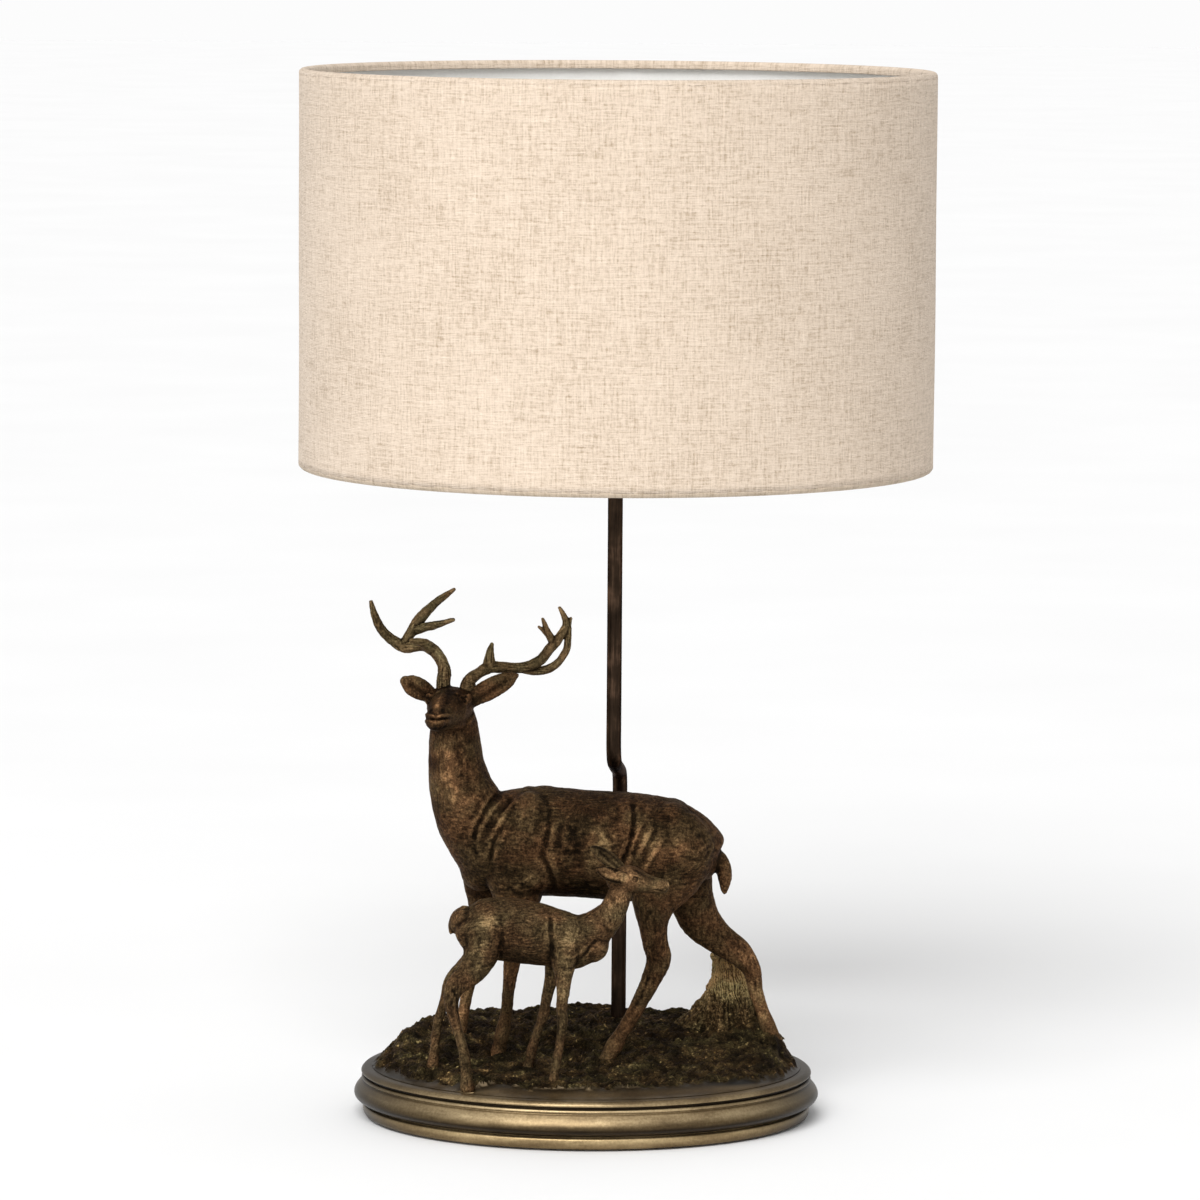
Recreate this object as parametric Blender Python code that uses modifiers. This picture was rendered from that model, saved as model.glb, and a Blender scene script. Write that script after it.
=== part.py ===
"""Figural table lamp: a stag and a fawn on a moulded oval plinth, a bent lamp tube and a linen drum shade.

Metres, +Z up. The origin is where the shade's axis meets the surface that the lamp stands on, +X is to the
right of the lamp seen from its front and -Y is towards the front.
"""

import math

import bmesh
import bpy
from mathutils import Vector

MM = 0.001
GAP = 0.0003
TAU = 2 * math.pi

# Driving dimensions
SHADE_RADIUS = 0.200
SHADE_BOTTOM = 0.4095
SHADE_TOP = 0.6600
FABRIC_THICKNESS = 0.0007
LINER_THICKNESS = 0.0006
RIM_WIRE_RADIUS = 0.0011
SPOKE_RADIUS = 0.0011
SPOKES = 3
FITTER_Z = 0.4636

PLINTH_CENTRE = Vector((-0.016, -0.020, 0.0))
PLINTH_HALF_WIDTH = 0.147
PLINTH_RATIO = 0.86
PLINTH_FOOT = 0.0015
DECK_Z = 0.0315
DECK_THICKNESS = 0.005
COVER_HALF_WIDTH = 0.1345
COVER_TOP = 0.0042
COVER_SCREWS = 3
SCREW_CIRCLE = 0.112
SCREW_SHANK = 0.0015
SCREW_HEAD = 0.0030
BOSS_RADIUS = 0.0045

TUBE_RADIUS = 0.0047
TUBE_WALL = 0.0008
TUBE_FOOT = Vector((0.0042, 0.042, 0.0))
TUBE_BOTTOM = 0.0165
TUBE_TOP = 0.4310
FLEX_RADIUS = 0.0021

HOLDER_FLANGE_Z = 0.4622
HOLDER_TOP = 0.4900
HOLDER_RADIUS = 0.0190
SWITCH_Z = HOLDER_FLANGE_Z - 0.0112
SWITCH_RADIUS = 0.0022
SWITCH_HALF_LENGTH = 0.0225
SWITCH_TRAVEL = 0.0040
BULB_BASE_Z = 0.4668
BULB_CAP_LENGTH = 0.0255
GLASS_RADIUS = 0.030
GLASS_TOP = 0.5700

TURN_STEPS = 20
RIM_STEPS = 48
OVAL_STEPS = 42

# Places where the hooves stand on the ground: x, y and the height of the sole, in millimetres
STAG_HOOVES = ((-4, -49, 38.5), (105, -6, 43.0), (-72, -40, 42.0), (-99, -10, 38.5))
FAWN_HOOVES = ((-89, -112, 34.5), (-36, -112, 34.5), (-112, -70, 39.5), (-52, -70, 39.5))
STAG_SOCKET = 10.0
FAWN_SOCKET = 7.0

lamp = None
cutters = None
slots = {}


def clear_scene():
    for thing in list(bpy.data.objects):
        bpy.data.objects.remove(thing, do_unlink=True)


def make_collection(name):
    made = bpy.data.collections.new(name)
    bpy.context.scene.collection.children.link(made)
    return made


def finish(name, colour, roughness, metallic=0.0, transmission=0.0):
    """A Principled BSDF material with a plain colour."""
    made = bpy.data.materials.new(name)
    made.use_nodes = True
    shader = made.node_tree.nodes["Principled BSDF"]
    shader.inputs["Base Color"].default_value = (*colour, 1.0)
    shader.inputs["Roughness"].default_value = roughness
    shader.inputs["Metallic"].default_value = metallic
    shader.inputs["Transmission Weight"].default_value = transmission
    slots[name] = made


def make_finishes():
    finish("linen", (0.80, 0.69, 0.56), 0.95)
    finish("lining", (0.78, 0.77, 0.74), 0.6)
    finish("bronze_resin", (0.060, 0.040, 0.026), 0.45, 0.5)
    finish("antique_gold", (0.22, 0.15, 0.075), 0.40, 0.7)
    finish("dark_bronze", (0.035, 0.026, 0.020), 0.35, 0.8)
    finish("black_plastic", (0.02, 0.02, 0.02), 0.4)
    finish("white_plastic", (0.75, 0.74, 0.70), 0.4)
    finish("zinc_steel", (0.55, 0.55, 0.54), 0.35, 1.0)
    finish("brass_metal", (0.70, 0.50, 0.20), 0.3, 1.0)
    finish("flex_cover", (0.03, 0.03, 0.03), 0.6)
    finish("bulb_glass", (0.95, 0.95, 0.93), 0.1, 0.0, 0.6)
    finish("felt", (0.03, 0.035, 0.03), 1.0)


def add_object(name, mesh, slot=None, location=(0, 0, 0), group=None):
    made = bpy.data.objects.new(name, mesh)
    made.location = location
    (group or lamp).objects.link(made)
    if slot:
        mesh.materials.append(slots[slot])
    return made


def hide_cutter(thing):
    thing.hide_render = True
    thing.display_type = "WIRE"
    return thing


def modify(thing, kind, **values):
    made = thing.modifiers.new(kind.title(), kind)
    for key, value in values.items():
        setattr(made, key, value)
    return made


def cut(thing, cutter, operation="DIFFERENCE", solver="EXACT"):
    modify(thing, "BOOLEAN", operation=operation, object=cutter, solver=solver)


def applied(thing):
    """The object with its modifiers, location and scale worked into its mesh."""
    bpy.context.view_layer.update()
    graph = bpy.context.evaluated_depsgraph_get()
    mesh = bpy.data.meshes.new_from_object(thing.evaluated_get(graph))
    mesh.transform(thing.matrix_world)
    thing.modifiers.clear()
    thing.data = mesh
    thing.location = (0, 0, 0)
    thing.scale = (1, 1, 1)
    return thing


# Turned pieces


def turned(name, profile, slot, steps=TURN_STEPS, location=(0, 0, 0), ratio=1.0, ring=False, group=None):
    """A profile of (radius, height) points turned about Z. A ring's profile closes on itself."""
    mesh = bpy.data.meshes.new(name)
    edges = [(i, i + 1) for i in range(len(profile) - 1)]
    if ring:
        edges.append((len(profile) - 1, 0))
    mesh.from_pydata([(r, 0, z) for r, z in profile], edges, [])
    made = add_object(name, mesh, slot, location, group)
    made.scale = (1, ratio, 1)
    modify(
        made, "SCREW", axis="Z", angle=TAU, steps=steps, render_steps=steps,
        use_merge_vertices=True, merge_threshold=0.00001, use_smooth_shade=True,
    )
    return made


def arc(centre, radius, start, end, points):
    """Points on an arc in a profile, angles in degrees from outward."""
    made = []
    for i in range(points):
        angle = math.radians(start + (end - start) * i / (points - 1))
        made.append((centre[0] + radius * math.cos(angle), centre[1] + radius * math.sin(angle)))
    return made


def disc_cutter(name, radius, low, high, centre, sides=16, ratio=1.0):
    profile = [(0, high), (radius, high), (radius, low), (0, low)]
    return hide_cutter(
        turned(name, profile, None, sides, (centre[0], centre[1], 0), ratio, group=cutters)
    )


# Lofted pieces, such as bodies, legs and antlers


def between(stations, steps):
    """Catmull-Rom points through the stations."""
    padded = [stations[0], *stations, stations[-1]]
    made = []
    for i in range(1, len(padded) - 2):
        a, b, c, d = (Vector(padded[i + k]) for k in (-1, 0, 1, 2))
        for k in range(steps):
            t = k / steps
            made.append(
                0.5 * (2 * b + (c - a) * t + (2 * a - 5 * b + 4 * c - d) * t**2 + (3 * b - a - 3 * c + d) * t**3)
            )
    made.append(Vector(stations[-1]))
    return made


def add_loft(shape, stations, side=(0, 1, 0), sides=14, steps=3, flat=False):
    """Adds a closed skin round a path. A station is x, y, z, half its height and half its width along side,
    in millimetres. Its ends are domed unless they are flat."""
    rows = between([Vector(s) for s in stations], steps)
    centres = [row.xyz * MM for row in (Vector(r[:3]) for r in rows)]
    sizes = [(r[3] * MM, r[4] * MM) for r in rows]
    tangents = []
    for i in range(len(centres)):
        before = centres[max(i - 1, 0)]
        after = centres[min(i + 1, len(centres) - 1)]
        tangents.append((after - before).normalized())
    rings = []
    for centre, (tall, wide), tangent in zip(centres, sizes, tangents):
        rings.append((centre, tall, wide, tangent))
    if not flat:
        rings = [*domed(rings[0], -1)[::-1], *rings, *domed(rings[-1], 1)]
    loops = []
    for centre, tall, wide, tangent in rings:
        across = (Vector(side) - tangent * tangent.dot(Vector(side))).normalized()
        up = across.cross(tangent)
        loop = []
        for k in range(sides):
            angle = TAU * k / sides
            place = centre + across * (wide * math.cos(angle)) + up * (tall * math.sin(angle))
            loop.append(shape.verts.new(place))
        loops.append(loop)
    for low, high in zip(loops, loops[1:]):
        for k in range(sides):
            shape.faces.new((low[k], low[k - 1], high[k - 1], high[k]))
    shape.faces.new(loops[0])
    shape.faces.new(loops[-1][::-1])


def domed(ring, direction):
    """Rings that close an end with a dome."""
    centre, tall, wide, tangent = ring
    reach = min(tall, wide) * direction
    made = []
    for angle in (35, 65, 84):
        shrink = math.cos(math.radians(angle))
        shift = tangent * (reach * math.sin(math.radians(angle)))
        made.append((centre + shift, tall * shrink, wide * shrink, tangent))
    return made


def lofted(name, slot, lofts, voxel=None, keep=1.0, group=None):
    """One mesh of several lofts, fused into one skin where they cross."""
    shape = bmesh.new()
    for stations, options in lofts:
        add_loft(shape, stations, **options)
    bmesh.ops.recalc_face_normals(shape, faces=shape.faces)
    mesh = bpy.data.meshes.new(name)
    shape.to_mesh(mesh)
    shape.free()
    made = add_object(name, mesh, slot, group=group)
    if voxel:
        modify(made, "REMESH", mode="VOXEL", voxel_size=voxel, use_smooth_shade=True)
        modify(made, "SMOOTH", factor=0.5, iterations=3)
        modify(made, "DECIMATE", ratio=keep)
    return made


def eased(value, low, high):
    """0 at low and 1 at high, with a smooth change between them."""
    t = min(max((value - low) / (high - low), 0.0), 1.0)
    return t * t * (3 - 2 * t)


# The plinth and what is under it


def plinth_profile():
    """The outer side from the deck down to the foot, then the inside back up to the underside of the deck."""
    full = PLINTH_HALF_WIDTH
    shoulder = arc((full - 0.0080, DECK_Z - 0.0035), 0.0035, 90, 0, 4)
    waist = [(full - 0.0050, 0.0278), (full - 0.0072, 0.0272), (full - 0.0072, 0.0263)]
    bead = [(full - 0.0054, 0.0256), (full - 0.0048, 0.0246), (full - 0.0056, 0.0235)]
    ogee = [(full - 0.0040, 0.0216), (full - 0.0014, 0.0184), (full, 0.0152), (full - 0.0012, 0.0124)]
    cove = [(full - 0.0050, 0.0103), (full - 0.0086, 0.0092), (full - 0.0086, 0.0084)]
    lip = [(full - 0.0062, 0.0080), (full - 0.0056, 0.0066), (full - 0.0064, PLINTH_FOOT)]
    rebate = COVER_HALF_WIDTH + GAP
    wall = rebate - 0.0045
    inside = [
        (rebate, PLINTH_FOOT),
        (rebate, COVER_TOP + GAP),
        (wall, COVER_TOP + GAP),
        (wall, DECK_Z - DECK_THICKNESS),
        (0, DECK_Z - DECK_THICKNESS),
    ]
    return [(0, DECK_Z), *shoulder, *waist, *bead, *ogee, *cove, *lip, *inside]


def screw_places():
    for i in range(COVER_SCREWS):
        angle = TAU * (i + 0.25) / COVER_SCREWS
        offset = Vector((math.cos(angle), PLINTH_RATIO * math.sin(angle), 0)) * SCREW_CIRCLE
        yield i + 1, PLINTH_CENTRE + offset


def make_plinth():
    plinth = turned("plinth", plinth_profile(), "antique_gold", OVAL_STEPS, PLINTH_CENTRE, PLINTH_RATIO)
    for number, place in screw_places():
        low = COVER_TOP + GAP
        high = DECK_Z - DECK_THICKNESS / 2
        boss = disc_cutter(f"boss_shape_{number}", BOSS_RADIUS, low, high, place, 12)
        cut(plinth, boss, "UNION")
        pilot = disc_cutter(f"pilot_{number}", SCREW_SHANK + GAP, 0.0, DECK_Z - 0.008, place, 8)
        cut(plinth, pilot)
    cut(plinth, disc_cutter("tube_hole", TUBE_RADIUS + GAP, 0, 0.1, TUBE_FOOT))
    cut(plinth, cord_hole(0.0048))


def cord_hole(radius):
    """A cutter through the back wall for the mains lead's grommet."""
    mesh = bpy.data.meshes.new("cord_hole")
    shape = bmesh.new()
    bmesh.ops.create_cone(
        shape, cap_ends=True, segments=16, radius1=radius, radius2=radius, depth=0.030
    )
    shape.to_mesh(mesh)
    shape.free()
    cutter = add_object("cord_hole", mesh, group=cutters)
    cutter.location = grommet_place() - Vector((0, 0.006, 0))
    cutter.rotation_euler = (math.pi / 2, 0, 0)
    return hide_cutter(cutter)


def grommet_place():
    """Centre of the grommet's flange, at the middle of the plinth's back."""
    return PLINTH_CENTRE + Vector((0, PLINTH_RATIO * PLINTH_HALF_WIDTH + GAP, 0.0130))


def make_grommet():
    """The inlet for the mains lead: a flanged bush with a through bore."""
    profile = [
        (0.0064, 0.0016), (0.0064, 0.0), (0.0045, 0.0), (0.0045, -0.0130),
        (0.0032, -0.0130), (0.0032, 0.0016),
    ]
    grommet = turned("cord_grommet", profile, "black_plastic", 16, grommet_place(), ring=True)
    grommet.rotation_euler = (-math.pi / 2, 0, 0)


def make_base_cover():
    low = PLINTH_FOOT + GAP
    profile = [(0, COVER_TOP), (COVER_HALF_WIDTH, COVER_TOP), (COVER_HALF_WIDTH, low), (0, low)]
    cover = turned("base_cover", profile, "zinc_steel", OVAL_STEPS, PLINTH_CENTRE, PLINTH_RATIO)
    shank = SCREW_SHANK + GAP
    head = SCREW_HEAD + GAP
    step = low + 0.0012
    for number, place in screw_places():
        hole = [(0, 0.010), (shank, 0.010), (shank, step), (head, step), (head, -0.001), (0, -0.001)]
        cut(cover, hide_cutter(turned(f"screw_hole_{number}", hole, None, 12, place, group=cutters)))


def make_screws():
    head_low = PLINTH_FOOT + GAP
    head_top = head_low + 0.0012 - GAP
    for number, place in screw_places():
        profile = [
            (0, 0.0150), (SCREW_SHANK, 0.0140), (SCREW_SHANK, head_top), (SCREW_HEAD, head_top),
            (SCREW_HEAD, head_low), (0, head_low),
        ]
        turned(f"cover_screw_{number}", profile, "zinc_steel", 10, place)


def make_felt():
    """The oval felt sheet that the lamp stands on."""
    wide = COVER_HALF_WIDTH - 0.006
    profile = [(0, PLINTH_FOOT), (wide, PLINTH_FOOT), (wide, 0), (0, 0)]
    turned("felt_base", profile, "felt", OVAL_STEPS, PLINTH_CENTRE, PLINTH_RATIO)


# The ground with its stump


def ground_height(x, y):
    """Height of the modelled ground, in metres, over a place on the plinth."""
    across = (x - PLINTH_CENTRE.x) / (PLINTH_HALF_WIDTH - 0.012)
    along = (y - PLINTH_CENTRE.y) / (PLINTH_RATIO * (PLINTH_HALF_WIDTH - 0.012))
    reach = math.hypot(across, along)
    rise = eased(reach, 1.0, 0.86)
    height = 0.0360 + 0.0135 * eased(y, -0.095, 0.040)
    height += 0.0075 * math.exp(-(((x - 0.098) / 0.024) ** 2 + ((y - 0.012) / 0.030) ** 2))
    height += 0.0028 * math.exp(-(((x + 0.105) / 0.035) ** 2 + ((y - 0.010) / 0.035) ** 2))
    return DECK_Z + 0.0016 + (height - DECK_Z - 0.0016) * rise


def make_ground():
    wide = PLINTH_HALF_WIDTH - 0.011
    low = DECK_Z + GAP
    rings = 10
    profile = [(wide * i / rings, low + 0.001) for i in range(rings + 1)]
    profile += [(wide, low), (0, low)]
    ground = turned("groundwork", profile, "bronze_resin", OVAL_STEPS, PLINTH_CENTRE, PLINTH_RATIO)
    applied(ground)
    for vert in ground.data.vertices:
        if vert.co.z > low + 0.0005:
            vert.co.z = ground_height(vert.co.x, vert.co.y)
    for name, hooves, radius in (("stag", STAG_HOOVES, STAG_SOCKET), ("fawn", FAWN_HOOVES, FAWN_SOCKET)):
        for number, (x, y, sole) in enumerate(hooves):
            place = (x * MM, y * MM)
            socket = f"{name}_socket_{number}"
            cut(ground, disc_cutter(socket, radius * MM, sole * MM - 0.0005, 0.09, place, 10))
    cut(ground, disc_cutter("tube_socket", TUBE_RADIUS + GAP, 0, 0.1, TUBE_FOOT))
    stump_socket = lofted("stump_socket", None, [(stump_stations(1.0), dict(flat=True))], group=cutters)
    cut(ground, hide_cutter(stump_socket), solver="MANIFOLD")


def stump_stations(grow=0.0):
    """The stump from its roots up. The foot goes lower as it grows, for its socket."""
    rows = [
        (68, 22, 45 - grow, 35, 17), (68, 22, 50, 31, 16), (71, 22, 58, 22.5, 14.5), (74, 22, 68, 16, 13.5),
        (75.5, 22, 80, 11.5, 12), (75.5, 22, 95, 10.5, 11.5),
    ]
    return [(x, y, z, tall + grow, wide + grow) for x, y, z, tall, wide in rows]


def make_stump():
    lofted("tree_stump", "bronze_resin", [(stump_stations(), dict(flat=True))])


# The figures. Stations are x, y, z, half height and half width in millimetres.

LEG = dict(sides=12)
EAR = dict(sides=12)
FACING_FRONT = dict(side=(1, 0, 0))

STAG_TRUNK = (
    (-84, -25, 168, 14, 14), (-78, -25, 171.5, 27, 25), (-64, -24, 174, 33.5, 30), (-40, -24, 175, 34.5, 31.5),
    (-14, -24, 173.5, 34, 32), (10, -24, 172, 34.5, 31.5), (33, -24, 171, 32, 30), (49, -23, 168, 26.5, 26),
    (58, -22, 165, 20, 20), (63, -22, 162, 13, 13), (66, -22, 161, 4, 4),
)
STAG_NECK = (
    (-76, -25, 170, 24, 24), (-88, -26, 190, 23.5, 22), (-95.5, -27, 208, 20.5, 19), (-99, -29, 226, 17.6, 16.5),
    (-99.9, -31, 242, 16, 14.5), (-100.5, -33, 254, 14, 13), (-101, -34, 263, 11, 11),
)
STAG_HEAD = (
    (-100, -26, 263.5, 8, 10), (-101.5, -34, 264.5, 10.5, 13.5), (-103.5, -43, 263.5, 11.5, 14),
    (-107, -54, 260.5, 10, 10), (-109.5, -64, 257.5, 7.6, 7.8), (-111, -70, 256, 6, 6.8),
)
STAG_EARS = (
    ((-90, -36, 266, 4, 4), (-83, -37, 270, 6.5, 3), (-74, -38, 275, 6.5, 2.4), (-65, -38, 279.5, 4.6, 2),
     (-60, -38, 282, 1.6, 1.2)),
    ((-113, -36, 268, 4, 4), (-120, -39, 272.5, 6.6, 2.8), (-127, -40, 276.5, 6.4, 2.2), (-132, -40, 279.5, 3, 1.6)),
)
STAG_TAIL = ((63, -22, 168, 5.4, 6), (69, -22, 161, 5.2, 5.6), (70.7, -22, 152, 4.6, 4.8), (70.5, -22, 143.5, 2.1, 2.3))
STAG_PEDICLES = (
    ((-107, -35, 266, 4, 4), (-107, -35, 277.5, 4.2, 4.2)),
    ((-93, -35, 264, 4, 4), (-91.7, -35, 275.2, 4, 4)),
)
STAG_LEGS = (
    ((42, -32, 180, 24, 16), (35, -39, 160, 23, 14), (27, -44, 142, 16, 11), (25.5, -46, 128, 10, 8),
     (27, -47, 114, 8.2, 6), (29, -47, 103, 7.6, 5.2), (23, -47, 88, 6.2, 4.6), (15, -47, 72, 5.2, 4.2),
     (6, -47, 56, 4.9, 4.2), (0, -48, 46, 5.5, 4.8), (-4, -49, 36, 6.4, 5.4)),
    ((42, -14, 168, 17, 15), (46, -10, 152, 17, 12), (50, -8, 136, 14.5, 10), (56.5, -7, 121.5, 13, 8),
     (68, -6, 110.5, 10.3, 6.5), (80.5, -6, 101.5, 8.5, 5.4), (88.5, -6, 91, 6, 4.6), (91, -6, 79, 4.7, 4.2),
     (95, -6, 66, 4.4, 4), (100, -6, 53, 5.2, 4.5), (105, -6, 40.5, 6.4, 5.4)),
    ((-62, -36, 165, 22, 14), (-60, -39, 146, 17, 12), (-60, -41, 128, 10.5, 8.5), (-62, -41, 112, 7, 6),
     (-63, -41, 101, 5.2, 4.8), (-65, -41, 84, 4.2, 4), (-66.5, -40, 68, 4, 3.9), (-69, -40, 54, 4.8, 4.4),
     (-72, -40, 39.5, 6, 5.2)),
    ((-78, -14, 165, 20, 13), (-80, -10, 146, 15, 11), (-82, -9, 126, 9, 7.5), (-85, -9, 108, 6.2, 5.4),
     (-88, -9, 96, 5.2, 4.8), (-91, -9, 80, 4.2, 4), (-94, -9, 64, 4, 3.9), (-97, -10, 50, 4.8, 4.4),
     (-99, -10, 36, 6, 5.2)),
)

LEFT_ANTLER = (
    ((-107, -35, 278.2, 4.4, 4.4), (-107, -35, 283, 4.2, 4.2), (-108, -34, 289, 4, 4), (-112.5, -32, 296, 4, 4),
     (-120, -29, 300, 4, 4), (-131, -26, 298, 3.8, 3.8), (-139, -25, 302, 3.4, 3.4),
     (-146, -27, 309, 3, 3), (-150, -29, 317, 2.6, 2.6), (-153, -31, 328, 1.2, 1.2)),
    ((-114, -32, 297, 3.6, 3.6), (-120, -37, 302, 3, 3), (-127, -41, 304, 1.6, 1.6)),
    ((-133, -26, 299, 3, 3), (-129, -23, 305, 2.9, 2.9), (-122.5, -20, 315, 2.6, 2.6),
     (-113.5, -19, 324.5, 2.1, 2.1), (-101, -19, 334, 1.1, 1.1)),
    ((-127, -22, 308, 2.5, 2.5), (-120, -24, 310, 2.4, 2.4), (-112, -27, 312, 2, 2),
     (-101, -30, 316, 1.1, 1.1)),
)
RIGHT_ANTLER = (
    ((-91.7, -35, 275.9, 4.2, 4.2), (-90.9, -35, 278, 3.9, 3.9), (-85.5, -34, 282.6, 3.4, 3.4), (-78.5, -32, 286.3, 3.6, 3.6),
     (-71, -30, 285.2, 3.1, 3.1), (-60, -28, 284.6, 2.9, 2.9), (-50, -27, 283.2, 3.2, 3.2),
     (-40, -27, 284.2, 3.2, 3.2), (-33, -28, 292, 3.1, 3.1), (-30, -29, 302, 2.8, 2.8),
     (-30.5, -30, 313, 2.4, 2.4), (-35, -32, 325, 1.1, 1.1)),
    ((-78.5, -32, 287, 3.2, 3.2), (-78.3, -34, 295, 2.5, 2.5), (-76.7, -36, 301.5, 1.2, 1.2)),
    ((-54, -28, 285, 3, 3), (-46, -31, 291.5, 2.8, 2.8), (-41, -32, 300, 2.6, 2.6), (-43, -33, 310, 1.9, 1.9),
     (-45.5, -34, 317, 1.1, 1.1)),
    ((-41.5, -32, 302, 2.4, 2.4), (-35, -31, 301, 2.4, 2.4), (-29.5, -29, 306, 2.4, 2.4)),
    ((-30, -30, 311, 2, 2), (-27.5, -30, 317.5, 1.1, 1.1)),
    ((-43, -33, 306, 1.8, 1.8), (-47.5, -34, 312, 1, 1)),
)

FAWN_TRUNK = (
    (-92, -88, 134, 9.5, 9.5), (-86, -88, 132.5, 16, 13.5), (-76, -88, 130.5, 19, 15.5), (-62, -88, 129, 20, 16),
    (-48, -88, 127, 19.5, 16), (-34, -88, 124, 18, 15), (-22, -88, 121, 16.5, 13.5), (-12, -88, 120, 11, 10),
)
FAWN_NECK = (
    (-22, -88, 124, 15, 12), (-11, -88, 130, 12, 9.5), (-1, -88, 140, 9, 7.6), (4, -88, 151, 7.6, 7),
    (7, -88, 159, 7.5, 7),
)
FAWN_HEAD = (
    (3, -88, 161, 7, 7), (10, -89, 161.5, 8.8, 8), (17, -89.5, 160, 7.6, 7), (24, -90, 158, 5.2, 5),
    (30, -90, 157, 3.8, 3.8),
)
FAWN_EARS = (
    ((6, -82, 166, 3.4, 3), (-1, -80, 172, 4.4, 2.2), (-8, -79, 177, 3.8, 1.8), (-13, -78, 180, 1.6, 1.2)),
    ((8, -96, 163, 3.4, 3), (1, -98, 165.5, 4.4, 2.2), (-5, -99, 167.5, 3.6, 1.8), (-10, -99, 169, 1.6, 1.2)),
)
FAWN_TAIL = ((-94, -88, 140, 4, 4), (-99.5, -88, 134, 3, 3), (-100, -88, 127.5, 1.8, 1.8))
FAWN_LEGS = (
    ((-82, -97, 130, 16, 9), (-81, -101, 118, 12, 8), (-87, -104, 106, 9, 6.2), (-97, -107, 96.5, 6.2, 4.6),
     (-99, -108, 87, 4.8, 3.8), (-97.5, -109, 76, 3.7, 3.4), (-93, -110, 62, 3.3, 3.2),
     (-90.5, -111, 49, 3.7, 3.4), (-89, -112, 32, 4.6, 4.2)),
    ((-30, -97, 122, 10, 8), (-30, -101, 110, 7.6, 6.2), (-30, -104, 98, 4.7, 4.4), (-31, -107, 84, 3.5, 3.3),
     (-30.5, -108, 74, 3.2, 3), (-32, -109, 62, 2.8, 2.8), (-34.5, -111, 48, 3, 3), (-36, -112, 32, 4.6, 4.2)),
    ((-80, -79, 128, 10, 9), (-82, -76, 115, 8, 7), (-91, -73, 104, 6, 5.2), (-100, -71, 94, 4.8, 4),
     (-104, -71, 82, 3.5, 3.2), (-108, -70, 70, 3.1, 3), (-110, -70, 58, 3.1, 3), (-112, -70, 37, 4.2, 3.8)),
    ((-34, -80, 120, 9, 8), (-36, -76, 108, 6.2, 5.2), (-38, -73, 96, 4.3, 4), (-41, -71, 82, 3.5, 3.3),
     (-43, -70, 72, 3.3, 3.1), (-47, -70, 60, 2.9, 2.9), (-50, -70, 50, 3.2, 3), (-52, -70, 37, 4.2, 3.8)),
)


def level_hooves(figure, name, hooves):
    """Cuts each sole flat at its own height."""
    for number, (x, y, sole) in enumerate(hooves):
        cutter = disc_cutter(f"{name}_sole_{number}", 0.012, sole * MM - 0.015, sole * MM, (x * MM, y * MM), 8)
        cut(figure, cutter)


def make_stag():
    lofts = [(STAG_TRUNK, {}), (STAG_NECK, {}), (STAG_HEAD, FACING_FRONT), (STAG_TAIL, LEG)]
    lofts += [(ear, EAR) for ear in STAG_EARS]
    lofts += [(leg, LEG) for leg in STAG_LEGS]
    lofts += [(pedicle, dict(flat=True, **FACING_FRONT)) for pedicle in STAG_PEDICLES]
    stag = lofted("stag_body", "bronze_resin", lofts, voxel=0.0013, keep=0.026)
    level_hooves(stag, "stag", STAG_HOOVES)


def make_antlers():
    for name, branches in (("antler_left", LEFT_ANTLER), ("antler_right", RIGHT_ANTLER)):
        beam, *tines = branches
        lofts = [(beam, dict(sides=10, flat=True))]
        lofts += [(tine, dict(sides=10)) for tine in tines]
        lofted(name, "bronze_resin", lofts, voxel=0.0008, keep=0.045)


def make_fawn():
    lofts = [(FAWN_TRUNK, {}), (FAWN_NECK, {}), (FAWN_HEAD, {}), (FAWN_TAIL, LEG)]
    lofts += [(ear, EAR) for ear in FAWN_EARS]
    lofts += [(leg, LEG) for leg in FAWN_LEGS]
    fawn = lofted("fawn_body", "bronze_resin", lofts, voxel=0.0010, keep=0.030)
    level_hooves(fawn, "fawn", FAWN_HOOVES)


# The lamp tube and its flex

TUBE_BEND = (
    (4.2, 42, 190), (4.2, 41.7, 202), (3.8, 37.5, 210.5), (2.8, 27, 214.5), (1.4, 14, 218.5), (0.4, 4, 223),
    (0, 0.3, 232), (0, 0, 244),
)


def tube_path():
    """The tube's centre line from its foot to the lampholder, bent forward behind the stag's back."""
    low = [(TUBE_FOOT.x, TUBE_FOOT.y, TUBE_BOTTOM), (TUBE_FOOT.x, TUBE_FOOT.y, 0.100)]
    bend = [tuple(row * MM) for row in between([Vector(p) for p in TUBE_BEND], 2)]
    return [Vector(p) for p in (*low, *bend, (0, 0, 0.335), (0, 0, TUBE_TOP))]


def swept(name, path, radius, slot, resolution, caps=True):
    """A round rod along a path, as a poly curve with a bevel and, unless it is an open skin, filled caps."""
    curve = bpy.data.curves.new(name, "CURVE")
    curve.dimensions = "3D"
    curve.bevel_depth = radius
    curve.bevel_resolution = resolution
    curve.use_fill_caps = caps
    spline = curve.splines.new("POLY")
    spline.points.add(len(path) - 1)
    for point, place in zip(spline.points, path):
        point.co = (*place, 1)
    curve.materials.append(slots[slot])
    made = bpy.data.objects.new(name, curve)
    lamp.objects.link(made)
    return made


def meshed(thing):
    """A curve object made a mesh, its caps welded."""
    bpy.context.view_layer.update()
    graph = bpy.context.evaluated_depsgraph_get()
    mesh = bpy.data.meshes.new_from_object(thing.evaluated_get(graph))
    shape = bmesh.new()
    shape.from_mesh(mesh)
    bmesh.ops.remove_doubles(shape, verts=shape.verts, dist=0.00001)
    shape.to_mesh(mesh)
    shape.free()
    name = thing.name
    place = thing.matrix_world.copy()
    bpy.data.objects.remove(thing)
    made = add_object(name, mesh)
    made.matrix_world = place
    return made


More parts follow.
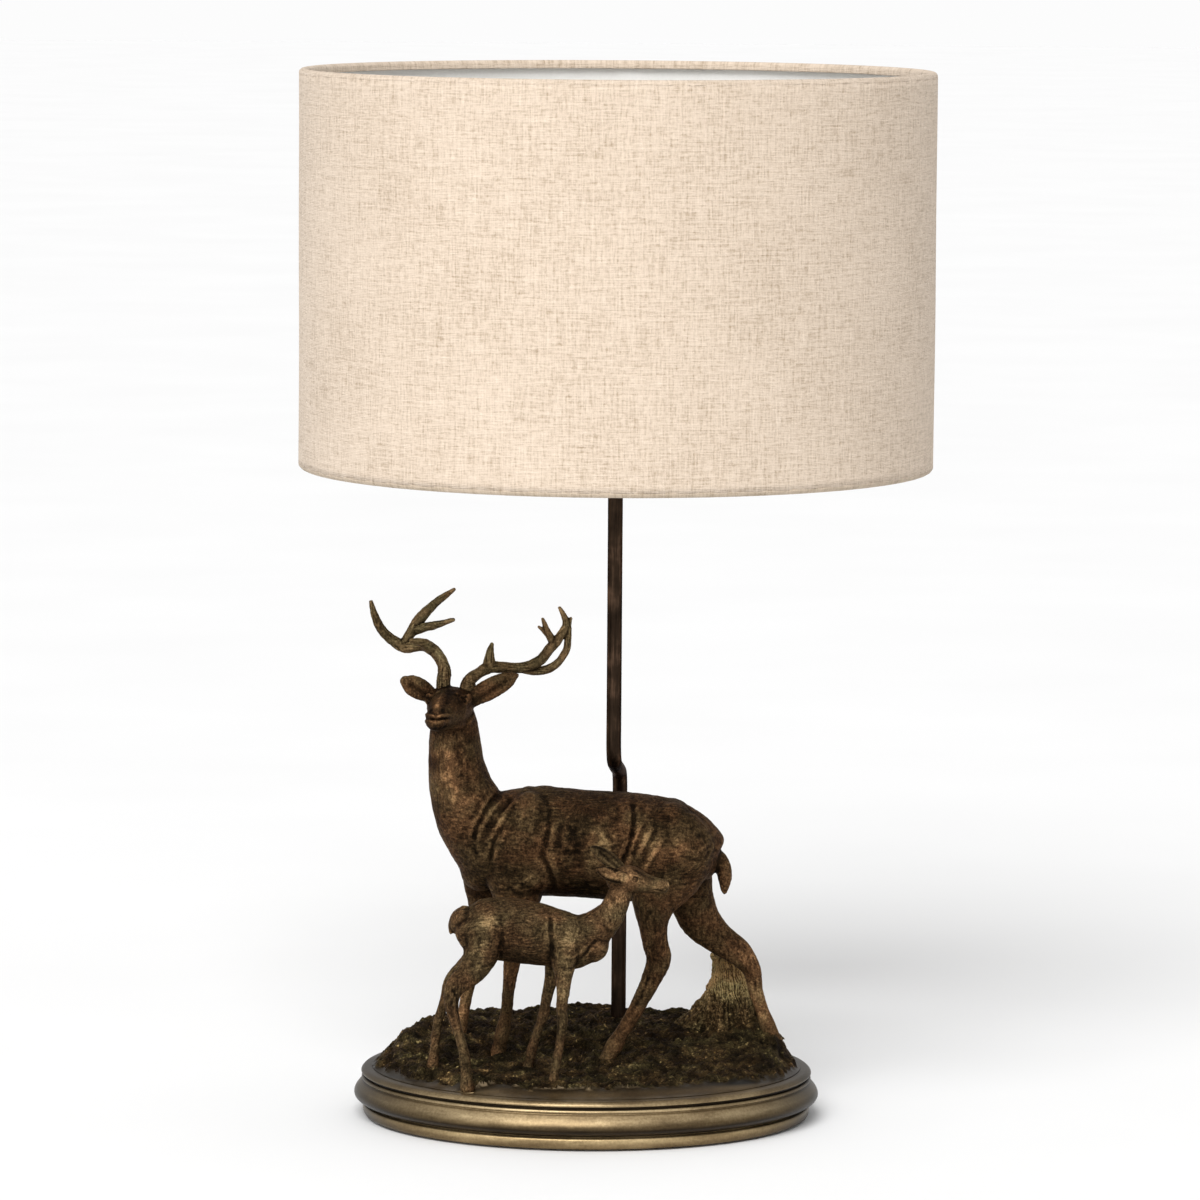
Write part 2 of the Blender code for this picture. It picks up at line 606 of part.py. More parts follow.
def make_tube():
    tube = meshed(swept("lamp_tube", tube_path(), TUBE_RADIUS, "dark_bronze", 2, caps=False))
    modify(tube, "SOLIDIFY", thickness=TUBE_WALL, offset=-1)


def make_flex():
    """The inner flex, from the terminal block under the deck through the tube to the lampholder."""
    start = Vector((TUBE_FOOT.x - 0.030, TUBE_FOOT.y, 0.0100))
    turn = [
        start, start + Vector((0.012, 0, 0)), start + Vector((0.020, 0, 0.0002)),
        start + Vector((0.0255, 0, 0.0016)), start + Vector((0.0287, 0, 0.0045)),
    ]
    inside = tube_path()[1:-1]
    foot = [Vector((TUBE_FOOT.x, TUBE_FOOT.y, 0.0185)), Vector((TUBE_FOOT.x, TUBE_FOOT.y, 0.040))]
    swept("inner_flex", [*turn, *foot, *inside, Vector((0, 0, HOLDER_FLANGE_Z - 0.0155))], FLEX_RADIUS,
          "flex_cover", 2)


def make_terminal_block():
    mesh = bpy.data.meshes.new("terminal_block")
    shape = bmesh.new()
    bmesh.ops.create_cube(shape, size=1.0)
    bmesh.ops.scale(shape, vec=(0.020, 0.016, 0.0110), verts=shape.verts)
    shape.to_mesh(mesh)
    shape.free()
    place = Vector((TUBE_FOOT.x - 0.030 - 0.010 - GAP, TUBE_FOOT.y, COVER_TOP + GAP + 0.0055))
    block = add_object("terminal_block", mesh, "white_plastic", place)
    modify(block, "BEVEL", width=0.0012, segments=1)


def make_tube_fixings():
    """A washer and a hexagon nut on the tube's thread, under the deck."""
    ceiling = DECK_Z - DECK_THICKNESS - GAP
    hole = TUBE_RADIUS + GAP
    washer = [(0.0110, ceiling), (0.0110, ceiling - 0.0015), (hole, ceiling - 0.0015), (hole, ceiling)]
    turned("tube_washer", washer, "zinc_steel", 20, TUBE_FOOT, ring=True)
    top = ceiling - 0.0015 - GAP
    nut = [(0.0082, top), (0.0082, top - 0.0050), (hole, top - 0.0050), (hole, top)]
    block = turned("tube_nut", nut, "zinc_steel", 24, TUBE_FOOT, ring=True)
    hexagon = disc_cutter("nut_hexagon", 0.0081, 0, 0.05, TUBE_FOOT, 6)
    cut(block, hexagon, "INTERSECT")


# The lampholder, the bulb and the switch


def make_holder():
    collar = TUBE_RADIUS + GAP
    cap_low = HOLDER_FLANGE_Z - 0.0420
    cap_top = HOLDER_FLANGE_Z - 0.0180
    cap = [
        (0.0172, cap_top), (0.0172, cap_top - 0.0070), (0.0120, cap_low + 0.0090), (0.0075, cap_low + 0.0070),
        (0.0075, cap_low), (collar, cap_low), (collar, cap_low + 0.0085), (0.0110, cap_low + 0.0105),
        (0.0156, cap_top - 0.0062), (0.0156, cap_top),
    ]
    turned("lampholder_cap", cap, "black_plastic", ring=True)
    nut_low = cap_low + 0.0085 + 0.0022
    flats = collar / math.cos(math.pi / 6)
    nut = [(0.0086, nut_low + 0.0030), (0.0086, nut_low), (flats, nut_low), (flats, nut_low + 0.0030)]
    turned("holder_locknut", nut, "zinc_steel", 6, ring=True)
    low = cap_top + GAP
    bore = 0.0141
    body = [
        (HOLDER_RADIUS, HOLDER_TOP), (HOLDER_RADIUS, HOLDER_FLANGE_Z), (0.0240, HOLDER_FLANGE_Z),
        (0.0240, HOLDER_FLANGE_Z - 0.0022), (0.0185, HOLDER_FLANGE_Z - 0.0050), (0.0172, low),
        (0.0150, low), (0.0150, HOLDER_FLANGE_Z - 0.0030), (bore, HOLDER_FLANGE_Z - 0.0010),
        (bore, HOLDER_TOP),
    ]
    holder = turned("lampholder_body", body, "black_plastic", ring=True)
    cut(holder, switch_bore())


def switch_bore():
    """A cutter through both sides of the lampholder for the switch's push bar."""
    mesh = bpy.data.meshes.new("switch_bore")
    shape = bmesh.new()
    reach = SWITCH_RADIUS + 0.0004
    bmesh.ops.create_cone(shape, cap_ends=True, segments=12, radius1=reach, radius2=reach, depth=0.060)
    shape.to_mesh(mesh)
    shape.free()
    cutter = add_object("switch_bore", mesh, group=cutters)
    cutter.location = (0, 0, SWITCH_Z)
    cutter.rotation_euler = (0, math.pi / 2, 0)
    return hide_cutter(cutter)


def make_switch():
    """The push bar that passes through the lampholder from side to side."""
    profile = [
        (0, SWITCH_HALF_LENGTH), (SWITCH_RADIUS - 0.0006, SWITCH_HALF_LENGTH),
        (SWITCH_RADIUS, SWITCH_HALF_LENGTH - 0.0006), (SWITCH_RADIUS, 0.0006 - SWITCH_HALF_LENGTH),
        (SWITCH_RADIUS - 0.0006, -SWITCH_HALF_LENGTH), (0, -SWITCH_HALF_LENGTH),
    ]
    bar = turned("switch_push_bar", profile, "white_plastic", 12, (-SWITCH_TRAVEL / 2, 0, SWITCH_Z))
    bar.rotation_euler = (0, math.pi / 2, 0)


def make_contact_block():
    """The insulated insert with the centre contact, over the switch."""
    low = SWITCH_Z + SWITCH_RADIUS + 0.0006
    top = HOLDER_FLANGE_Z - 0.0010
    profile = [(0, top), (0.0136, top), (0.0136, top - 0.0025), (0.0138, top - 0.0030), (0.0138, low), (0, low)]
    turned("contact_block", profile, "white_plastic", 24)
    spring = [(0, top + 0.0032), (0.0028, top + 0.0030), (0.0040, top + GAP), (0, top + GAP)]
    turned("centre_contact", spring, "brass_metal", 12)


def make_shade_ring():
    low = FITTER_Z + 0.0014
    inner = HOLDER_RADIUS + 0.0004
    profile = [
        (0.0225, low + 0.0100), (0.0232, low + 0.0094), (0.0232, low + 0.0030), (0.0275, low + 0.0022),
        (0.0275, low), (inner, low), (inner, low + 0.0100),
    ]
    turned("shade_ring", profile, "black_plastic", ring=True)


def make_bulb():
    foot = BULB_BASE_Z
    contact = [(0, foot + 0.0018), (0.0045, foot + 0.0018), (0.0045, foot + 0.0005), (0.0035, foot), (0, foot)]
    turned("bulb_foot", contact, "brass_metal", 16)
    low = foot + 0.0018 + GAP
    top = low + BULB_CAP_LENGTH - 0.0020
    cap = [(0, low + 0.0008), (0.0066, low + 0.0008), (0.0117, low + 0.0036), (0.0117, top), (0.0131, top)]
    threads = 4
    for i in range(threads):
        crest = top - 0.0030 - 0.0044 * i
        cap += [(0.0124, crest + 0.0022), (0.0131, crest)]
    cap += [(0.0124, low + 0.0030), (0.0070, low), (0, low)]
    turned("bulb_cap", cap, "zinc_steel")
    neck = 0.0112
    centre = GLASS_TOP - GLASS_RADIUS
    dome = arc((0, centre), GLASS_RADIUS, 90, -38, 9)
    glass = [*dome, (0.0170, top + 0.0170), (0.0139, top + 0.0060), (0.0129, top + GAP), (neck, top + GAP)]
    glass += [(neck, low + 0.0120)]
    inner = [(r - 0.0008 * (r > 0.001), z - 0.0008 * (z > centre)) for r, z in reversed(dome)]
    glass += [(neck - 0.0010, low + 0.0120), (neck - 0.0010, top + 0.0010), (0.0130, top + 0.0066),
              (0.0161, top + 0.0174), *inner]
    glass[-1] = (0, GLASS_TOP - 0.0009)
    turned("bulb_glass", glass, "bulb_glass")


# The shade


def rolled_hem(wire_z, up, flange):
    """The fabric's edge rolled over the rim wire. up is 1 at the top rim and -1 at the bottom rim."""
    centre = SHADE_RADIUS - 0.0028
    outer = SHADE_RADIUS - centre
    points = [(centre + outer * math.cos(a), wire_z + up * outer * 0.88 * math.sin(a))
              for a in (math.radians(d) for d in (0, 60, 120, 180))]
    inner = outer - FABRIC_THICKNESS
    back = [(centre + inner * math.cos(a), wire_z + up * inner * 0.84 * math.sin(a))
            for a in (math.radians(d) for d in (180, 90, 0))]
    return [*points, (centre - outer, wire_z - up * flange), (centre - inner, wire_z - up * flange), *back]


def make_shade():
    reach = (SHADE_RADIUS - (SHADE_RADIUS - 0.0028)) * 0.88
    top_wire = SHADE_TOP - reach
    low_wire = SHADE_BOTTOM + reach
    top = rolled_hem(top_wire, 1, 0.0040)
    bottom = rolled_hem(low_wire, -1, -0.0005)
    turned("shade_fabric", [*top[::-1], *bottom], "linen", RIM_STEPS, ring=True)
    outer = SHADE_RADIUS - FABRIC_THICKNESS - GAP
    inner = outer - LINER_THICKNESS
    liner = [(outer, top_wire - 0.0022), (outer, low_wire + 0.0022), (inner, low_wire + 0.0022),
             (inner, top_wire - 0.0022)]
    turned("shade_liner", liner, "lining", RIM_STEPS, ring=True)
    wire_centre = SHADE_RADIUS - 0.0028
    wire = arc((wire_centre, top_wire), RIM_WIRE_RADIUS, 90, -198, 5)
    turned("top_rim_wire", wire, "zinc_steel", RIM_STEPS, ring=True)
    make_carrier(wire_centre, low_wire)


def make_carrier(wire_centre, low_wire):
    """The bottom rim wire, three spokes and the flat ring that sits on the lampholder, welded into one."""
    wire = arc((wire_centre, low_wire), RIM_WIRE_RADIUS, 90, -198, 5)
    carrier = turned("shade_carrier", wire, "zinc_steel", RIM_STEPS, ring=True)
    inner = HOLDER_RADIUS + 0.0006
    half = 0.0010
    flat = [(0.0285, FITTER_Z + half), (0.0285, FITTER_Z - half), (inner, FITTER_Z - half), (inner, FITTER_Z + half)]
    fitter = turned("fitter_ring_shape", flat, "zinc_steel", 24, ring=True, group=cutters)
    cut(carrier, hide_cutter(fitter), "UNION")
    for number in range(SPOKES):
        angle = TAU * (number + 0.25) / SPOKES
        outward = Vector((math.cos(angle), math.sin(angle), 0))
        path = [
            outward * (wire_centre - 0.0003) + Vector((0, 0, low_wire + 0.0002)),
            outward * (wire_centre - 0.0070) + Vector((0, 0, low_wire + 0.0090)),
            outward * (wire_centre - 0.0140) + Vector((0, 0, low_wire + 0.0170)),
            outward * 0.060 + Vector((0, 0, FITTER_Z - 0.0020)),
            outward * 0.0265 + Vector((0, 0, FITTER_Z)),
        ]
        spoke = meshed(swept(f"spoke_shape_{number + 1}", path, SPOKE_RADIUS, "zinc_steel", 1))
        lamp.objects.unlink(spoke)
        cutters.objects.link(spoke)
        cut(carrier, hide_cutter(spoke), "UNION")


def main():
    global lamp, cutters
    clear_scene()
    lamp = make_collection("stag_table_lamp")
    cutters = make_collection("cutters")
    make_finishes()
    make_plinth()
    make_grommet()
    make_base_cover()
    make_screws()
    make_felt()
    make_ground()
    make_stump()
    make_stag()
    make_antlers()
    make_fawn()
    make_tube()
    make_flex()
    make_terminal_block()
    make_tube_fixings()
    make_holder()
    make_switch()
    make_contact_block()
    make_shade_ring()
    make_bulb()
    make_shade()


main()
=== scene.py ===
"""Looks of the figural table lamp: a stag and a fawn in bronze-washed resin on an antique gold plinth, a dark
bronze lamp tube behind them and a linen drum shade.

Metres and +Z up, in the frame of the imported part. The figures' stations and strokes are in millimetres.
"""

import math
from contextlib import contextmanager

import bmesh
import bpy
import numpy as np
from mathutils import Matrix, Vector, noise


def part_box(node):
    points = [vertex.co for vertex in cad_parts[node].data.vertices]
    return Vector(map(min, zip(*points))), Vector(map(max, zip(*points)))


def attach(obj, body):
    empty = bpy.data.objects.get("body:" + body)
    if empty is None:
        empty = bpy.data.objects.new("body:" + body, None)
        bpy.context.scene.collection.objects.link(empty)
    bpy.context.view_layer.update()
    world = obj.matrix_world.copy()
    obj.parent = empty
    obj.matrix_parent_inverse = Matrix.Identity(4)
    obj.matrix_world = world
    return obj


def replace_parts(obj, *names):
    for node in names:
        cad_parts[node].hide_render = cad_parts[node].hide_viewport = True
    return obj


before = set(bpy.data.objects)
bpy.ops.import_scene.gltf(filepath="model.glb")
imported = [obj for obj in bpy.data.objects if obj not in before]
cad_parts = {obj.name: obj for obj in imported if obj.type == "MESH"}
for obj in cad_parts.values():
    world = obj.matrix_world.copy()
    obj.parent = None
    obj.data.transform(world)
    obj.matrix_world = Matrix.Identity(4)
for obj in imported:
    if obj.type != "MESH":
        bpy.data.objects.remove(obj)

MM = 0.001
TAU = 2 * math.pi
X_AXIS, Y_AXIS = (1, 0, 0), (0, 1, 0)
NEAR, FAR, BOTH = -1, 1, 0

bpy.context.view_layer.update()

# Sizes shared with the CAD solids
plinth_low, plinth_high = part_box("plinth")
PLINTH_CENTRE = (plinth_low + plinth_high) / 2
PLINTH_HALF_WIDTH = (plinth_high.x - plinth_low.x) / 2
PLINTH_RATIO = (plinth_high.y - plinth_low.y) / (plinth_high.x - plinth_low.x)
PLINTH_FOOT = plinth_low.z
DECK_Z = plinth_high.z
shade_low, shade_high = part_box("shade_fabric")
SHADE_RADIUS = (shade_high.x - shade_low.x) / 2
SHADE_BOTTOM, SHADE_TOP = shade_low.z, shade_high.z
TUBE_RADIUS = 0.0047
TUBE_BOTTOM, TUBE_TOP = (corner.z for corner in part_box("lamp_tube"))
COVER_HALF_WIDTH = 0.1345
FITTER_Z = 0.4636
GLASS_TOP, GLASS_RADIUS = 0.5700, 0.030


# Meshes


def placed(name, data):
    """A new object in the scene."""
    made = bpy.data.objects.new(name, data)
    bpy.context.scene.collection.objects.link(made)
    return made


def new_object(name, mesh, material, body):
    made = placed(name, mesh)
    mesh.materials.append(material)
    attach(made, body)
    return made


@contextmanager
def editing(mesh, outwards=True):
    """The mesh as a bmesh, written back at the end with its faces turned outwards."""
    shape = bmesh.new()
    shape.from_mesh(mesh)
    yield shape
    if outwards:
        bmesh.ops.recalc_face_normals(shape, faces=shape.faces)
    shape.to_mesh(mesh)
    shape.free()


def mesh_of(name, points, faces):
    mesh = bpy.data.meshes.new(name)
    mesh.from_pydata(np.asarray(points).tolist(), [], faces)
    mesh.shade_smooth()
    return mesh


def grid_faces(rows, columns, round_rows=False, round_columns=True):
    """Quads of a grid of points, closed on itself along its rows or columns where those are round."""
    faces = []
    for i in range(rows if round_rows else rows - 1):
        a, b = i * columns, (i + 1) % rows * columns
        for k in range(columns if round_columns else columns - 1):
            n = (k + 1) % columns
            faces.append((a + k, a + n, b + n, b + k))
    return faces


def lathe(name, profile, steps, centre=(0, 0, 0), ratio=1.0, ring=True, shift=None):
    """A mesh turned from (radius, height) points. shift(radius, height, angle) gives another radius."""
    angles = np.arange(steps) * TAU / steps
    points = []
    for r, z in profile:
        radii = np.full(steps, r) if shift is None else np.array([shift(r, z, a) for a in angles])
        ring_points = [radii * np.cos(angles), ratio * radii * np.sin(angles), np.full(steps, z)]
        points.append(np.stack(ring_points, 1))
    points = np.concatenate(points) + np.array(centre)
    mesh = mesh_of(name, points, grid_faces(len(profile), steps, round_rows=ring))
    with editing(mesh) as shape:
        bmesh.ops.remove_doubles(shape, verts=shape.verts, dist=2e-6)
        bmesh.ops.dissolve_degenerate(shape, edges=shape.edges, dist=1e-7)
    mesh.shade_smooth()
    return mesh


def rounded(points, radius, count=4):
    """A profile with each inner corner rounded."""
    made = [points[0]]
    for before, corner, after in zip(points, points[1:], points[2:]):
        a, b, c = (np.array(p, float) for p in (before, corner, after))
        reach = min(radius, np.linalg.norm(a - b) * 0.45, np.linalg.norm(c - b) * 0.45)
        start = b + (a - b) / max(np.linalg.norm(a - b), 1e-9) * reach
        end = b + (c - b) / max(np.linalg.norm(c - b), 1e-9) * reach
        for i in range(count + 1):
            t = i / count
            made.append(tuple((1 - t) ** 2 * start + 2 * t * (1 - t) * b + t * t * end))
    made.append(points[-1])
    return made


def crease(mesh, degrees=38):
    mesh.set_sharp_from_angle(angle=math.radians(degrees))
    return mesh


def catmull(stations, steps):
    """Points of a smooth curve through the stations, of any number of values each."""
    rows = np.array([stations[0], *stations, stations[-1]], float)
    made = []
    for a, b, c, d in zip(rows, rows[1:], rows[2:], rows[3:]):
        square, cube = 2 * a - 5 * b + 4 * c - d, 3 * b - a - 3 * c + d
        for k in range(steps):
            t = k / steps
            made.append(0.5 * (2 * b + (c - a) * t + square * t**2 + cube * t**3))
    made.append(rows[-1])
    return np.array(made)


def unit(vectors):
    return vectors / np.maximum(np.linalg.norm(vectors, axis=-1, keepdims=True), 1e-12)


def loft(stations, side=Y_AXIS, sides=26, steps=5, flat=False):
    """Points and faces of a closed skin round a path of (x, y, z, half height, half width) stations.
    Its ends are domed unless they are flat."""
    rows = catmull(stations, steps)
    centres, tall, wide = rows[:, :3], np.abs(rows[:, 3]), np.abs(rows[:, 4])
    tangents = unit(np.gradient(centres, axis=0))
    rings = list(zip(centres, tall, wide, tangents))
    if not flat:
        rings = [*dome(rings[0], -1)[::-1], *rings, *dome(rings[-1], 1)]
    angles = np.arange(sides) * TAU / sides
    points = []
    for centre, high, broad, tangent in rings:
        across = unit(np.array(side, float) - tangent * tangent.dot(side))
        up = np.cross(across, tangent)
        points.append(centre + np.outer(np.cos(angles) * broad, across) + np.outer(np.sin(angles) * high, up))
    faces = grid_faces(len(rings), sides)
    last = (len(rings) - 1) * sides
    faces += [tuple(range(sides))[::-1], tuple(range(last, last + sides))]
    return np.concatenate(points), faces


def dome(ring, direction):
    """Smaller rings that round off a loft past its end ring."""
    centre, tall, wide, tangent = ring
    reach = min(tall, wide) * direction
    made = []
    for a in np.radians((22, 42, 60, 75, 85)):
        made.append((centre + tangent * reach * math.sin(a), tall * math.cos(a), wide * math.cos(a), tangent))
    return made


def ball(centre, radii, turn=0.0):
    """An ellipsoid, turned about Y by degrees, as a loft's points and faces."""
    levels, sides = 14, 24
    rise = np.linspace(-math.pi / 2 + 0.05, math.pi / 2 - 0.05, levels)
    around = np.arange(sides) * TAU / sides
    points = np.stack(
        [np.outer(np.cos(rise), np.cos(around)), np.outer(np.cos(rise), np.sin(around)),
         np.outer(np.sin(rise), np.ones(sides))], -1,
    ).reshape(-1, 3) * np.array(radii, float)
    spin = np.array(Matrix.Rotation(math.radians(turn), 3, "Y"))
    last = (levels - 1) * sides
    faces = grid_faces(levels, sides) + [tuple(range(sides))[::-1], tuple(range(last, last + sides))]
    return points @ spin.T + np.array(centre, float), faces


def fused(name, skins, voxel):
    """One mesh of several closed skins, in millimetres, fused where they cross."""
    points, faces, start = [], [], 0
    for skin_points, skin_faces in skins:
        points.append(skin_points)
        faces += [tuple(i + start for i in face) for face in skin_faces]
        start += len(skin_points)
    rough = mesh_of(name + "_rough", np.concatenate(points) * MM, faces)
    with editing(rough):
        pass
    thing = placed(name + "_rough", rough)
    remesh = thing.modifiers.new("Fuse", "REMESH")
    remesh.mode = "VOXEL"
    remesh.voxel_size = voxel * MM
    bpy.context.view_layer.update()
    made = bpy.data.meshes.new_from_object(thing.evaluated_get(bpy.context.evaluated_depsgraph_get()))
    made.name = name
    bpy.data.objects.remove(thing)
    made.shade_smooth()
    return made


def refine(mesh, low, high):
    """Divides the faces inside a box, given in millimetres, once more."""
    a, b = Vector(low) * MM, Vector(high) * MM
    with editing(mesh, outwards=False) as shape:
        within = {v for v in shape.verts if all(a[i] < v.co[i] < b[i] for i in range(3))}
        inside = [e for e in shape.edges if within.issuperset(e.verts)]
        bmesh.ops.subdivide_edges(shape, edges=inside, cuts=1, use_grid_fill=True)
    mesh.shade_smooth()


# Sculpting. A Relief holds a mesh's points in millimetres while it is worked on.


class Relief:
    def __init__(self, mesh):
        self.mesh = mesh
        self.count = len(mesh.vertices)
        flat = np.empty(self.count * 3, np.float32)
        mesh.vertices.foreach_get("co", flat)
        self.points = flat.reshape(-1, 3).astype(float) / MM
        ends = np.empty(len(mesh.edges) * 2, np.int32)
        mesh.edges.foreach_get("vertices", ends)
        self.first, self.second = ends.reshape(-1, 2).T
        self.valence = np.bincount(ends, minlength=self.count).astype(float)
        self.normals = self.read_normals()

    def read_normals(self):
        flat = np.empty(self.count * 3, np.float32)
        self.mesh.vertex_normals.foreach_get("vector", flat)
        return flat.reshape(-1, 3).astype(float)

    def write(self):
        self.mesh.vertices.foreach_set("co", (self.points * MM).astype(np.float32).ravel())
        self.mesh.update()
        self.normals = self.read_normals()

    def spread(self, values, weights=None):
        """The mean of each point's neighbours."""
        if values.ndim > 1:
            return np.stack([self.spread(column, weights) for column in values.T], 1)
        if weights is None:
            total = np.bincount(self.first, values[self.second], self.count)
            return (total + np.bincount(self.second, values[self.first], self.count)) / self.valence
        total = np.bincount(self.first, weights * values[self.second], self.count)
        total += np.bincount(self.second, weights * values[self.first], self.count)
        return total / np.maximum(self.weighed(weights), 1e-9)

    def weighed(self, weights):
        return np.bincount(self.first, weights, self.count) + np.bincount(self.second, weights, self.count)

    def relax(self, times, amount=0.5, keep=0.0):
        """Smooths the skin. keep pushes it back out after each step, so that thin parts stay thick."""
        for _ in range(times):
            for share in (amount, -keep):
                if share:
                    self.points = self.points + share * (self.spread(self.points) - self.points)
        self.write()

    def facing(self, side):
        if side == BOTH:
            return np.ones(self.count)
        return np.clip((self.normals[:, 1] * side + 0.10) / 0.45, 0, 1)

    def stroke(self, path, width, side=BOTH):
        """How near each point is to a path, 1 on it. A path of (x, z) points is seen from that side."""
        flat = len(path[0]) == 2
        points = self.points[:, (0, 2)] if flat else self.points
        line = catmull(path, 4)
        weight = np.zeros(self.count)
        for i, (start, end) in enumerate(zip(line, line[1:])):
            low, high = np.minimum(start, end) - 3 * width, np.maximum(start, end) + 3 * width
            near = np.nonzero(np.all((points > low) & (points < high), axis=1))[0]
            along = end - start
            share = np.clip((points[near] - start) @ along / max(along @ along, 1e-9), 0, 1)
            gap = np.linalg.norm(points[near] - start - share[:, None] * along, axis=1)
            place = (i + share) / (len(line) - 1)
            taper = np.clip(np.minimum(place, 1 - place) * 6 + 0.25, 0, 1)
            weight[near] = np.maximum(weight[near], np.exp(-((gap / width) ** 2)) * taper)
        return weight * self.facing(side)

    def spot(self, centre, radius, side=BOTH):
        flat = len(centre) == 2
        points = self.points[:, (0, 2)] if flat else self.points
        gap = np.linalg.norm(points - np.array(centre, float), axis=1)
        return np.exp(-((gap / radius) ** 2)) * self.facing(side)

    def raise_by(self, heights):
        self.points = self.points + self.normals * heights[:, None]
        self.write()

    def hairs(self, flow, seed, coarse, length):
        """Noise drawn out along the flow, of unit spread."""
        value = np.random.default_rng(seed).standard_normal(self.count)
        for _ in range(coarse):
            value = 0.4 * value + 0.6 * self.spread(value)
        way = unit(self.points[self.second] - self.points[self.first])
        along = np.abs(np.einsum("ij,ij->i", way, flow[self.first])) ** 5 + 0.004
        total = np.maximum(self.weighed(along), 1e-9)
        for _ in range(length):
            moved = np.bincount(self.first, along * value[self.second], self.count)
            moved += np.bincount(self.second, along * value[self.first], self.count)
            value = 0.3 * value + 0.7 * moved / total
        return value / value.std()

    def lumps(self, size, seed, octaves=3, rough=0.5):
        """Soft noise of that size in millimetres, about -1 to 1."""
        shift = Vector((seed * 7.31, seed * 3.17, seed * 5.03))
        scaled = self.points / size
        return np.array([noise.fractal(Vector(p) + shift, rough, 2.0, octaves) for p in scaled])

    def height_over(self, times):
        """How far each point stands over its smoothed surroundings, in units of its own spread."""
        soft = self.points
        for _ in range(times):
            soft = soft + 0.8 * (self.spread(soft) - soft)
        value = np.einsum("ij,ij->i", self.points - soft, self.normals)
        return value / max(value.std(), 1e-9)

    def store(self, **values):
        for name, value in values.items():
            layer = self.mesh.attributes.new(name, "FLOAT", "POINT")
            layer.data.foreach_set("value", value.astype(np.float32))


def blended(pairs):
    """A flow field of unit vectors from (weight, direction) pairs."""
    total = sum(weight[:, None] * np.array(direction, float) for weight, direction in pairs)
    return unit(total)


def fade(values, low, high):
    t = np.clip((values - low) / (high - low), 0, 1)
    return t * t * (3 - 2 * t)


# Materials


class Graph:
    """A material and short ways to add nodes to it."""

    def __init__(self, name, **values):
        self.material = bpy.data.materials.new(name)
        self.material.use_nodes = True
        self.tree = self.material.node_tree
        self.shader = self.tree.nodes["Principled BSDF"]
        self.set(self.shader, values)

    def set(self, node, values):
        for key, value in values.items():
            key = key.replace("_", " ") if isinstance(key, str) else key
            socket = node.inputs[key]
            if isinstance(value, bpy.types.NodeSocket):
                self.tree.links.new(value, socket)
            else:
                if socket.type == "RGBA" and len(value) == 3:
                    value = (*value, 1.0)
                socket.default_value = value

    def add(self, kind, inputs=None, **settings):
        made = self.tree.nodes.new("ShaderNode" + kind)
        for key, value in settings.items():
            setattr(made, key, value)
        self.set(made, inputs or {})
        return made

    def place(self):
        return self.add("TexCoord").outputs["Object"]

    def attribute(self, name):
        return self.add("Attribute", attribute_name=name).outputs["Fac"]

    def uv(self, name):
        return self.add("UVMap", uv_map=name).outputs["UV"]

    def stretched(self, vector, scale):
        return self.add("Mapping", {"Vector": vector, "Scale": scale}).outputs["Vector"]

    def bent(self, vector, drift, reach):
        """A vector moved by another one times its reach."""
        return self.add("VectorMath", {0: drift, 1: reach, 2: vector}, operation="MULTIPLY_ADD").outputs[0]

    def noise(self, vector, scale, detail=3.0, roughness=0.55, distortion=0.0):
        sockets = {"Vector": vector, "Scale": scale, "Detail": detail, "Roughness": roughness}
        return self.add("TexNoise", {**sockets, "Distortion": distortion}).outputs["Fac"]

    def math(self, operation, a, b=0.0, clamp=False):
        return self.add("Math", {0: a, 1: b}, operation=operation, use_clamp=clamp).outputs[0]

    def sum(self, *terms):
        """Adds (value, factor) pairs and plain numbers."""
        total = None
        for term in terms:
            part = self.math("MULTIPLY", *term) if isinstance(term, tuple) else term
            total = part if total is None else self.math("ADD", total, part)
        return total

    def ramp(self, value, *stops, smooth=False):
        """Colours, or greys, by value."""
        made = self.add("ValToRGB", {"Fac": value})
        band = made.color_ramp
        band.interpolation = "EASE" if smooth else "LINEAR"
        for i, (place, colour) in enumerate(stops):
            stop = band.elements[i] if i < 2 else band.elements.new(place)
            stop.position = place
            stop.color = (*colour, 1.0) if isinstance(colour, tuple) else (colour, colour, colour, 1.0)
        return made.outputs["Color"]

    def mix(self, factor, a, b, blend="MIX"):
        made = self.add("Mix", {0: factor, 6: a, 7: b}, data_type="RGBA", blend_type=blend)
        return made.outputs[2]

    def bump(self, height, distance, strength=1.0):
        made = self.add("Bump", {"Height": height, "Distance": distance, "Strength": strength})
        self.set(self.shader, {"Normal": made.outputs["Normal"]})


